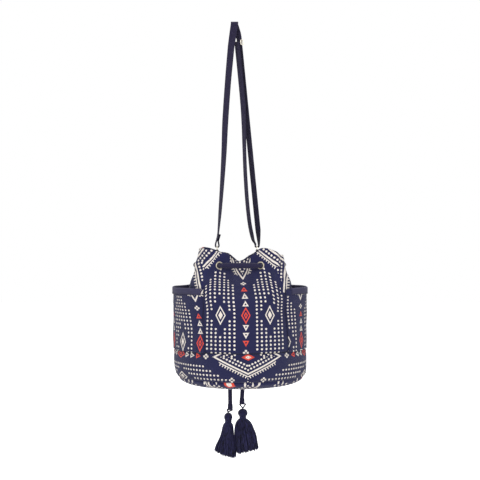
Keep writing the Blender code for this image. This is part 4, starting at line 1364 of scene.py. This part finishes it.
def make_rings():
    """The two flat oval rings, as fine tubes about a rounded oblong, and the cloth tabs that hold them."""
    for label, side in SIDES.items():
        node = f"strap_ring_{label}"
        low, high = box_low(node), box_high(node)
        half = 0.5 * (high[1] - low[1]) - RING_WIRE
        top, foot = high[2] - RING_WIRE, low[2] + RING_WIRE
        y, z = rounded_oblong(half, 0.5 * (top - foot), 0.0026, 64)
        oval = np.stack([0 * y + ring_centre_x(side), y, 0.5 * (top + foot) + z], axis=1)
        ring = add_tube(f"ring_wire_{label}", closed_line(oval, 90), RING_WIRE, WIRE_SIDES, True)
        finish_piece(ring, "pale_metal", node)
        make_tab(side, label, foot)


def make_tab(side, label, bar_z):
    """A cloth tab folded over a ring's lower bar and sewn down inside the side seam."""
    x = ring_centre_x(side)
    foot = box_low(f"ring_tab_{label}")[2]
    bend = np.linspace(0.0, pi, 13)
    over = np.stack([x - TAB_LOOP * np.cos(bend), bar_z + TAB_LOOP * np.sin(bend)], axis=1)
    legs = [(x - TAB_LOOP, foot), (x - TAB_LOOP, bar_z - 0.004), *over, (x + TAB_LOOP, bar_z - 0.004),
            (x + TAB_LOOP, foot)]
    stations = [(across, 0, height, pi / 2) for across, height in legs]
    tab = webbing_sweep(f"ring_tab_cloth_{label}", stations, WEB_WIDTH - 0.002, TAB_THICK)
    return finish_piece(tab, "printed_cotton", f"ring_tab_{label}")


def make_slider():
    """The cast slider: rounded rails at both sides of the webbing and three round bars, in one mesh."""
    along, across, front = run_frame()
    centre = RUN_START + along * SLIDER_DROP
    reach = WEB_WIDTH / 2 + 2 * GAP + SLIDER_RAIL
    back = -(WEB_THICK / 2 + GAP + 2 * BACK_BAR_RADIUS)
    fore = bar_offset() + BAR_RADIUS
    half = SLIDER_HEIGHT / 2 - SLIDER_RAIL
    outs, ups = rounded_oblong(0.5 * (fore - back) - SLIDER_RAIL, half, 0.0016, 48)
    outs = outs + 0.5 * (fore + back)
    parts = []
    for side in (-1, 1):
        loop = centre + side * across * reach + front * outs[:, None] + along * ups[:, None]
        loop = closed_line(loop, 60)
        parts.append(round_tube(loop, SLIDER_RAIL, WIRE_SIDES, closed=True, seed_normal=across))
    spread = np.linspace(-reach, reach, 12)[:, None]
    end = half - BACK_BAR_RADIUS
    for out, up, radius in ((bar_offset(), 0.0, BAR_RADIUS), (back + BACK_BAR_RADIUS, -end, BACK_BAR_RADIUS),
                            (back + BACK_BAR_RADIUS, end, BACK_BAR_RADIUS)):
        line = centre + front * out + along * up + across * spread
        parts.append(round_tube(line, radius, WIRE_SIDES, seed_normal=front))
    faces, start = [], 0
    for number, rings in enumerate(parts):
        faces.append(grid_faces(*rings.shape[:2], number < 2, True)[0] + start)
        start += rings.shape[0] * rings.shape[1]
    faces = np.vstack(faces)
    points = np.vstack([rings.reshape(-1, 3) for rings in parts])
    made = tidy_normals(add_mesh("slider_casting", points, faces, np.zeros((faces.size, 2))))
    return finish_piece(made, "pale_metal", "slider", body="slider")


EYELET_ORDER = ("back_left", "side_left_back", "side_left_front", "front_left",
                "front_right", "side_right_front", "side_right_back", "back_right")
END_SIZE = (0.0134, 0.0096, 0.0114)
CORD_PINCH = 0.0005
CORD_SWELL = 0.0012


def cord_through(name, inward):
    """Three points of the cord through an eyelet, from one side of the cloth to the other."""
    centre, outward = eyelet_seat(name)
    reach = outward * (0.46 if name.startswith("side") else 0.62) * EXIT_REACH
    trio = [centre + reach, centre, centre - reach]
    return trio if inward else trio[::-1]


def drawstring_points():
    """In at each eyelet and out at the next, from one back eyelet round the front to the other."""
    points = []
    for step, name in enumerate(EYELET_ORDER):
        trio = cord_through(name, step % 2 == 0)
        if points:
            points += [points[-1] + (trio[0] - points[-1]) * share for share in CHORD_SHARES]
        points += trio
    for step in (0, -1):
        centre, outward = eyelet_seat(EYELET_ORDER[step])
        points[step] = centre + outward * EXIT_REACH
    return smooth_route(points, 420)


def make_drawstring():
    """The held length of the drawstring, threaded through all the eyelets, soft and fuller between them."""
    points = drawstring_points()
    seats = np.array([eyelet_seat(name)[0] for name in EYELET_ORDER])
    away = np.linalg.norm(points[:, None] - seats[None], axis=-1).min(axis=1)
    radius = DRAWSTRING_RADIUS - CORD_PINCH + CORD_SWELL * soft_step(away, 0.006, 0.015)
    cord = add_tube("drawstring_cord", points, radius, 20)
    return finish_piece(cord, "braided_cord", "drawstring")


TAIL_LIFT = 0.0012
TAIL_LEVELS = (-0.545, -0.590, -0.640, -0.680, -0.730)
TAIL_STEPS = 260


def back_clear(height):
    """How far behind the axis a tail lies on the body at heights."""
    thick = DRAWSTRING_RADIUS + TAIL_LIFT
    full = BAND_RADIUS + BAND_BULGE + thick + SEWN_GAP
    return np.where(height < SEAM_Z, full, wall_radius(pi, height) + thick)


def end_place(side):
    """Top middle of a cord's folded end."""
    low, high = box_low(f"cord_end_{side}"), box_high(f"cord_end_{side}")
    return np.array([0.5 * (low[0] + high[0]), 0.5 * (low[1] + high[1]), high[2]])


def tail_points(side):
    """From its eyelet a tail turns down, lies over the full back and hangs straight."""
    centre, outward = eyelet_seat(f"back_{side}")
    end = end_place(side)
    start = centre + outward * (EXIT_REACH + SEWN_GAP)
    straight = start + outward * 0.010
    bend = straight + outward * 0.008 + np.array([0, 0, -0.004])
    drop = straight + outward * 0.014 + np.array([0, 0, -0.020])
    height = np.array(TAIL_LEVELS)
    share = (height - drop[2]) / (end[2] - drop[2])
    across = drop[0] + (end[0] - drop[0]) * share ** 0.8
    lying = np.stack([across, back_clear(height) + 0.002, height], axis=1)
    last = np.array([[end[0], end[1], end[2] + GAP]])
    return smooth_route(np.vstack([start, straight, bend, drop, lying, last]), TAIL_STEPS)


def make_tail(side):
    """One free tail of the drawstring, a limp braided cord that hangs to its sewn end."""
    cord = add_tube(f"drawstring_tail_cord_{side}", tail_points(side), DRAWSTRING_RADIUS - 0.0001, 18)
    return finish_piece(cord, "braided_cord", f"drawstring_tail_{side}")


END_ROWS, END_COLUMNS = 26, 40
END_WRAP = 0.036


def make_cord_end(side):
    """A tail's folded and sewn end: a squared block that widens a little to its flat foot, creased by its
    seam. Its section mixes a circle with a squarer curve of the fourth power."""
    top = end_place(side)
    wide, deep, tall = END_SIZE
    share = np.linspace(0.0, 1.0, END_ROWS)[:, None]
    turn = full_turn(END_COLUMNS)[None, :]
    size = 0.70 + 0.06 * soft_step(share, 0.0, 0.12) + 0.10 * share
    size = size * (1 - 0.16 * soft_step(share, 0.93, 1.0)) * (1 - 0.06 * bell(share, 0.25, 0.04))
    square = 1 / (np.abs(np.cos(turn)) ** 4 + np.abs(np.sin(turn)) ** 4) ** (1 / 4)
    x = top[0] + 0.5 * wide * size * np.cos(turn) * (0.3 + 0.7 * square)
    y = top[1] + 0.5 * deep * size * np.sin(turn) * (0.3 + 0.7 * square)
    points = np.stack([x, y, top[2] - tall * share + 0.0 * turn], axis=-1)
    u = np.broadcast_to(np.linspace(0.0, END_WRAP, END_COLUMNS + 1), (END_ROWS, END_COLUMNS + 1))
    v = np.broadcast_to(tall * share, u.shape)
    made = tidy_normals(weld(add_grid(f"cord_end_fold_{side}", *capped(points, u, v), wrap_columns=True)))
    return finish_piece(made, "braided_cord", f"cord_end_{side}")


HEAD_DIAMETER = {"left": 0.0164, "right": 0.0194}
HEAD_SHIFT = {"left": -0.0030, "right": 0.0004}
SKIRT_WIDTH = {"left": 0.0420, "right": 0.0470}
SKIRT_LEAN = {"left": -0.0060, "right": 0.0098}
SKIRT_SLANT = {"left": 0.0066, "right": -0.0058}
SKIRT_PROFILE = {
    "left": ((0.0, 0.06, 0.17, 0.37, 0.53, 0.74, 1.0), (0.0, 0.22, 0.34, 0.45, 0.66, 0.95, 1.0)),
    "right": ((0.0, 0.08, 0.16, 0.31, 0.46, 0.62, 0.83, 1.0), (0.0, 0.40, 0.60, 0.76, 0.91, 0.96, 1.0, 1.0)),
}
LOOP_WIDTH = {"left": 0.0112, "right": 0.0122}
HEAD_HEIGHT = 0.0150
YARN_NECK = 0.0062
NECK_HEIGHT = 0.0040
SKIRT_LENGTH = 0.0700
SKIRT_DEPTH = 0.0340
YARN_STEPS = 28
YARN_SIDES = 5

# Shares of a yarn's run: the head ends, the neck lies between, the skirt starts
HEAD_END, NECK_LOW, NECK_HIGH, SKIRT_START = 0.32, 0.30, 0.38, 0.36
GOLDEN_SHARE = 0.61803399
YARN_STRAY = 0.35


def yarn_paths(side, random):
    """Paths of all the yarn ends: round the ball of the head by a circle, in at the neck, and out along the
    skirt's profile to a ragged hem. Also their turns about the tassel, and its neck's place."""
    count = bpy.context.scene.bag_tassels.strands
    top = box_high(f"tassel_yarn_{side}")[2]
    loop = f"tassel_loop_{side}"
    axis = (0.5 * (box_low(loop)[0] + box_high(loop)[0]) + HEAD_SHIFT[side], end_place(side)[1])
    neck_z = top - HEAD_HEIGHT
    turn = TAU * (np.arange(count) * GOLDEN_SHARE % 1.0)[:, None]
    layer = np.sqrt((np.arange(count) + 0.5) / count)[:, None]
    step = np.linspace(0.0, 1.0, YARN_STEPS)[None, :]
    share = np.clip((step - SKIRT_START) / (1 - SKIRT_START), 0.0, 1.0)
    head = HEAD_DIAMETER[side] / 2
    last = pi - math.asin(YARN_NECK / head)
    ball = last * np.clip(step / HEAD_END, 0.0, 1.0)
    wave = random.normal(0.0, 1.0, (count, 5, 1)) * YARN_STRAY
    stray = wave[:, 0] * np.sin(5 * share + wave[:, 1] * 4) + wave[:, 2] * share ** 2
    flare = smoothed(np.interp(share[0], *SKIRT_PROFILE[side]), 3)[None, :]
    spread = (YARN_NECK + (0.5 * SKIRT_WIDTH[side] - YARN_NECK) * flare) * layer * (1 + 0.10 * stray)
    lock = np.sin(9 * turn + 2.0) + 0.6 * np.sin(14 * turn + 5.0 * share)
    spread = spread * (1 + 0.10 * lock * share)
    twist = turn + 0.22 * wave[:, 3] * share - 0.07 * np.cos(9 * turn + 2.0) * soft_step(share, 0.1, 0.5)
    radius = np.where(step <= HEAD_END, head * np.sin(ball) * (0.84 + 0.16 * layer), spread)
    radius = np.where((step > NECK_LOW) & (step < NECK_HIGH), YARN_NECK * (0.40 + 0.60 * layer), radius)
    deep = 1 + (SKIRT_DEPTH / SKIRT_WIDTH[side] - 1) * share
    drop = np.clip((step - HEAD_END) / (SKIRT_START - HEAD_END), 0, 1) * NECK_HEIGHT
    height = np.where(step <= HEAD_END, top - HEAD_HEIGHT * (1 - np.cos(ball)) / (1 - math.cos(last)),
                      neck_z - drop - SKIRT_LENGTH * (1 + 0.05 * wave[:, 4]) * share)
    slant = -SKIRT_SLANT[side] * share ** 3 * np.cos(twist) * layer
    x = axis[0] + SKIRT_LEAN[side] * share + radius * np.cos(twist)
    y = axis[1] + radius * deep * np.sin(twist)
    return np.stack([x, y, height + slant], axis=-1), turn[:, 0], (*axis, neck_z)


YARN_TIP = 0.35
# Shift of a strand's map by its place round the tassel, which sets the painted light and shade of the locks
PLACE_SHIFT = 0.02
STRAND_SHIFT = 0.0137


def strand_mesh(name, paths, places, radius):
    """All yarn ends in one mesh: thin tubes that taper at both ends. Their map is set off by their place
    round the tassel, so that the yarn's painted light and shade goes in locks."""
    count, steps = paths.shape[:2]
    ahead = unit(np.gradient(paths, axis=1))
    first = unit(np.cross(ahead, np.array([0.37, 0.93, 0.02])))
    taper = np.ones(steps)
    taper[0] = taper[-1] = YARN_TIP
    run = running(np.linalg.norm(np.diff(paths, axis=1), axis=-1), axis=1)
    return tube_mesh(name, paths, first, np.cross(ahead, first), radius * taper, YARN_SIDES,
                     TAU * radius / YARN_SIDES, PLACE_SHIFT * places,
                     run + STRAND_SHIFT * np.arange(count)[:, None])


WRAP_TURNS = 6
WRAP_THREAD = 0.0005
LOOP_THREAD = 0.0014
YARN_SEEDS = {"left": 7, "right": 12}


def make_tassel(side):
    """One tassel: yarn ends from a head to a skirt, a wrapped neck and the thread loop that carries it."""
    body = f"tassel_{side}"
    paths, places, (x, y, neck_z) = yarn_paths(side, np.random.default_rng(YARN_SEEDS[side]))
    yarn = strand_mesh(f"tassel_strands_{side}", paths, places, bpy.context.scene.bag_tassels.thickness)
    turn = np.linspace(0.0, TAU * WRAP_TURNS, 260)
    wrap_radius = YARN_NECK + 0.0006
    wrap = np.stack([x + wrap_radius * np.cos(turn), y + wrap_radius * np.sin(turn),
                     neck_z - 0.0002 - 0.0036 * turn / turn[-1]], axis=1)
    binding = add_tube(f"tassel_wrap_{side}", wrap, WRAP_THREAD, 8)
    node = f"tassel_loop_{side}"
    low, high = box_low(node), box_high(node)
    middle = 0.5 * (low + high)
    half = 0.5 * LOOP_WIDTH[side]
    corners = np.array([(middle[0] - half, high[2] - 0.0020), (middle[0] - half + 0.0012, high[2] - 0.0009),
                        (middle[0] + half - 0.0012, high[2] - 0.0009), (middle[0] + half, high[2] - 0.0020),
                        (x + 0.0008, low[2] + 0.0022), (x, low[2] + 0.0009), (x - 0.0008, low[2] + 0.0022)])
    corners = np.stack([corners[:, 0], 0 * corners[:, 0] + middle[1], corners[:, 1]], axis=1)
    loop = closed_line(smooth_route(np.vstack([corners, corners[:1]]), 90), 60)
    hanger = add_tube(f"tassel_thread_{side}", loop, LOOP_THREAD, 10, closed=True)
    made = [yarn, binding, hanger]
    for piece, solid in zip(made, (f"tassel_yarn_{side}", f"tassel_binding_{side}", node)):
        finish_piece(piece, "tassel_yarn", solid, body=body)
    return made


STITCH_LIFT = 0.0002
POCKET_STITCH_LIFT = 0.0001
SEAM_INSET = 0.028
SEAM_STITCH_RISE = 0.0052
BASE_STITCH_RISE = 0.0045
BINDING_STITCH_RISE = 0.0016
BINDING_STITCH = {"length": 0.0022, "pitch": 0.0032, "radius": 0.00026}
SEAM_STITCH_ENDS = (0.004, 0.006)


def make_stitches():
    """Thread stitches: at the lower and base seams, the hem line, and the pockets' bindings and seams."""
    angle = np.linspace(-pi, pi, 721)
    outward = outward_at(angle)
    rows = (("lower_seam", band_radius, SEAM_Z - SEAM_STITCH_RISE, {}),
            ("base_seam", band_radius, BASE_SEAM_Z + BASE_STITCH_RISE, {}),
            ("hem_line", body_radius, HEM_LINE_Z, {"length": 0.0022, "pitch": 0.0034}))
    for name, radius_of, level, sizes in rows:
        height = level + 0 * angle
        points = around_axis(angle, radius_of(angle, height), height)
        stitch_row(f"stitches_{name}", points + outward * STITCH_LIFT, outward, **sizes)
    for name, side in SIDES.items():
        turn = np.linspace(-BINDING_HALF_ANGLE, BINDING_HALF_ANGLE, 361)
        low = pocket_top(turn, side) + BINDING_SAG - (POCKET_TOP_Z - BINDING_LOW_Z) + BINDING_STITCH_RISE
        out = POCKET_CLOTH + SEWN_GAP + BINDING_CLOTH + POCKET_STITCH_LIFT
        stitch_row(f"stitches_binding_{name}", pocket_place(side, turn, low, out),
                   outward_at(side * pi / 2 + POCKET_TURN + turn), **BINDING_STITCH)
        for edge in (-1, 1):
            height = np.linspace(SEAM_Z + SEAM_STITCH_ENDS[0], POCKET_TOP_Z - SEAM_STITCH_ENDS[1], 120)
            label = "front" if edge * side < 0 else "back"
            seam = pocket_front(name, height) if label == "front" else POCKET_HALF_ANGLE
            turn = np.full_like(height, edge * (seam - SEAM_INSET))
            stitch_row(f"stitches_pocket_{name}_{label}",
                       pocket_place(side, turn, height, POCKET_CLOTH + POCKET_STITCH_LIFT),
                       outward_at(side * pi / 2 + POCKET_TURN + turn))


FLOOR_DROP = 0.10


def make_stage():
    """A wide pale floor below the tassels; the white world stands behind it."""
    floor_z = box_low("tassel_yarn_left")[2] - FLOOR_DROP
    x, y = np.meshgrid(np.linspace(-5.0, 5.0, 9), np.linspace(-5.0, 7.0, 9))
    floor = add_grid("studio_floor", np.stack([x, y, floor_z + 0 * x], axis=-1), 0 * x, 0 * y)
    floor.data.materials.append(floor_white())
    bpy.context.scene.view_settings.view_transform = "Standard"
    light_studio(bpy.context.scene)


def seen_directly(nodes, links):
    """1 for the camera, mirror and clear rays that see the backdrop, 0 for the rays that light the bag."""
    path = nodes.new("ShaderNodeLightPath")
    seen = path.outputs["Is Camera Ray"]
    for other in ("Is Glossy Ray", "Is Transmission Ray"):
        either = nodes.new("ShaderNodeMath")
        either.operation = "MAXIMUM"
        links.new(seen, either.inputs[0])
        links.new(path.outputs[other], either.inputs[1])
        seen = either.outputs[0]
    return seen


def picked(tree, first, second, out):
    """Lead one shader to an output for the rays that light the bag, and another for the rays that see it."""
    pick = tree.nodes.new("ShaderNodeMixShader")
    tree.links.new(seen_directly(tree.nodes, tree.links), pick.inputs[0])
    tree.links.new(first.outputs[0], pick.inputs[1])
    tree.links.new(second.outputs[0], pick.inputs[2])
    tree.links.new(pick.outputs[0], out.inputs["Surface"])


def floor_white():
    """White floor: it takes the soft shadow below the bag and is full white where it is lit."""
    made = bpy.data.materials.new("studio_white")
    made.use_nodes = True
    nodes, links = made.node_tree.nodes, made.node_tree.links
    nodes.clear()
    matt = nodes.new("ShaderNodeBsdfDiffuse")
    matt.inputs["Color"].default_value = (0.92, 0.92, 0.92, 1)
    glow = nodes.new("ShaderNodeEmission")
    glow.inputs["Color"].default_value = (1, 1, 1, 1)
    glow.inputs["Strength"].default_value = 0.75
    both = nodes.new("ShaderNodeAddShader")
    links.new(matt.outputs[0], both.inputs[0])
    links.new(glow.outputs[0], both.inputs[1])
    picked(made.node_tree, matt, both, nodes.new("ShaderNodeOutputMaterial"))
    return made


LAMP_TARGET = (0.0, 0.0, -0.50)

LAMPS = (
    ("key_softbox", (-1.15, -1.75, 0.55), (1.5, 1.3), 21.0),
    ("fill_softbox", (1.55, -1.60, 0.05), (1.4, 1.4), 13.0),
    ("front_softbox", (0.05, -2.60, -0.30), (1.8, 1.8), 13.0),
    ("top_softbox", (0.0, 0.15, 1.15), (1.4, 1.4), 8.0),
    ("back_softbox", (0.3, 1.70, 0.50), (1.5, 1.2), 12.0),
)
WORLD_LEVEL = 0.42


def light_studio(scene):
    """Five soft area lamps and a white world, at a level where a cloth's colour renders about as written."""
    for name, place, size, power in LAMPS:
        data = bpy.data.lights.new(name, "AREA")
        data.shape = "RECTANGLE"
        data.size, data.size_y = size
        data.energy = power
        lamp = bpy.data.objects.new(name, data)
        lamp.location = place
        lamp.rotation_euler = (Vector(LAMP_TARGET) - Vector(place)).to_track_quat("-Z", "Y").to_euler()
        scene.collection.objects.link(lamp)
    world = bpy.data.worlds.new("studio_world")
    world.use_nodes = True
    tree = world.node_tree
    ground = tree.nodes["Background"]
    shown = tree.nodes.new("ShaderNodeBackground")
    for node, strength in ((ground, WORLD_LEVEL), (shown, 1.0)):
        node.inputs["Color"].default_value = (1, 1, 1, 1)
        node.inputs["Strength"].default_value = strength
    picked(tree, ground, shown, tree.nodes["World Output"])
    scene.world = world


CAMERA_PLACE = (0.011, -2.0, -0.435)


def make_camera():
    """A level camera in front of the bag, 2 m from its axis, whose frame is 0.96 m wide there."""
    data = bpy.data.cameras.new("front_camera")
    data.sensor_fit = "HORIZONTAL"
    data.sensor_width = 36.0
    data.lens = 75.0
    camera = bpy.data.objects.new("front_camera", data)
    camera.location = CAMERA_PLACE
    camera.rotation_euler = (pi / 2, 0.0, 0.0)
    bpy.context.scene.collection.objects.link(camera)
    bpy.context.scene.camera = camera


class BAG_OT_camera(bpy.types.Operator):
    """Set the camera in front of the bag"""
    bl_idname = "bag.camera"
    bl_label = "Camera"

    def execute(self, context):
        make_camera()
        return {"FINISHED"}


class BAG_OT_cords(bpy.types.Operator):
    """Thread the drawstring and hang its tails with their ends and tassels"""
    bl_idname = "bag.cords"
    bl_label = "Drawstring and tassels"

    def execute(self, context):
        make_drawstring()
        for side in SIDES:
            tail, end = make_tail(side), make_cord_end(side)
            route = tail_points(side)
            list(make_tassel(side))
        return {"FINISHED"}


class BAG_OT_body(bpy.types.Operator):
    """Sew the gathered body, its lower band and its base"""
    bl_idname = "bag.body"
    bl_label = "Body cloth"

    def execute(self, context):
        make_body()
        make_band()
        make_base()
        return {"FINISHED"}


class BAG_OT_pockets(bpy.types.Operator):
    """Sew the side pockets and their bindings"""
    bl_idname = "bag.pockets"
    bl_label = "Pockets"

    def execute(self, context):
        for name in SIDES:
            make_pocket(name)
            make_binding(name)
        return {"FINISHED"}


class BAG_OT_strap(bpy.types.Operator):
    """Lay the strap's webbing, its slider, rings and ring tabs"""
    bl_idname = "bag.strap"
    bl_label = "Strap and slider"

    def execute(self, context):
        make_webbing()
        make_slider()
        make_rings()
        return {"FINISHED"}


class BAG_OT_eyelets(bpy.types.Operator):
    """Set the eyelets and their washers"""
    bl_idname = "bag.eyelets"
    bl_label = "Eyelets"

    def execute(self, context):
        for name in eyelet_angles():
            make_eyelet(name)
        return {"FINISHED"}


class BAG_OT_stitches(bpy.types.Operator):
    """Sew the visible stitches"""
    bl_idname = "bag.stitches"
    bl_label = "Stitches"

    def execute(self, context):
        make_stitches()
        return {"FINISHED"}


class BAG_OT_stage(bpy.types.Operator):
    """Set the white floor, world and lamps"""
    bl_idname = "bag.stage"
    bl_label = "Studio"

    def execute(self, context):
        make_stage()
        return {"FINISHED"}


OPERATORS = (BAG_OT_camera, BAG_OT_cords, BAG_OT_body, BAG_OT_pockets, BAG_OT_strap, BAG_OT_eyelets,
             BAG_OT_stitches, BAG_OT_stage)


class BAG_PT_panel(bpy.types.Panel):
    """The bag's makers and sizes, in the 3D view's sidebar"""
    bl_idname = "BAG_PT_panel"
    bl_label = "Bucket bag"
    bl_space_type = "VIEW_3D"
    bl_region_type = "UI"
    bl_category = "Bucket Bag"

    def draw(self, context):
        for maker in OPERATORS:
            self.layout.operator(maker.bl_idname)
        for name, group in GROUPS.items():
            column = self.layout.column(align=True)
            for size in group.__annotations__:
                column.prop(getattr(context.scene, name), size)


CLASSES = (*GROUPS.values(), *OPERATORS, BAG_PT_panel)


def register():
    """Add the classes, and the groups of sizes to the scene."""
    for made in CLASSES:
        bpy.utils.register_class(made)
    for name, group in GROUPS.items():
        setattr(bpy.types.Scene, name, PointerProperty(type=group))


def unregister():
    """Take the groups of sizes and the classes away again."""
    for name in GROUPS:
        delattr(bpy.types.Scene, name)
    for made in reversed(CLASSES):
        bpy.utils.unregister_class(made)


def main():
    """Register the makers, run them in order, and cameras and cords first."""
    register()
    for maker in OPERATORS:
        group, name = maker.bl_idname.split(".")
        getattr(getattr(bpy.ops, group), name)()


if __name__ == "__main__":
    main()
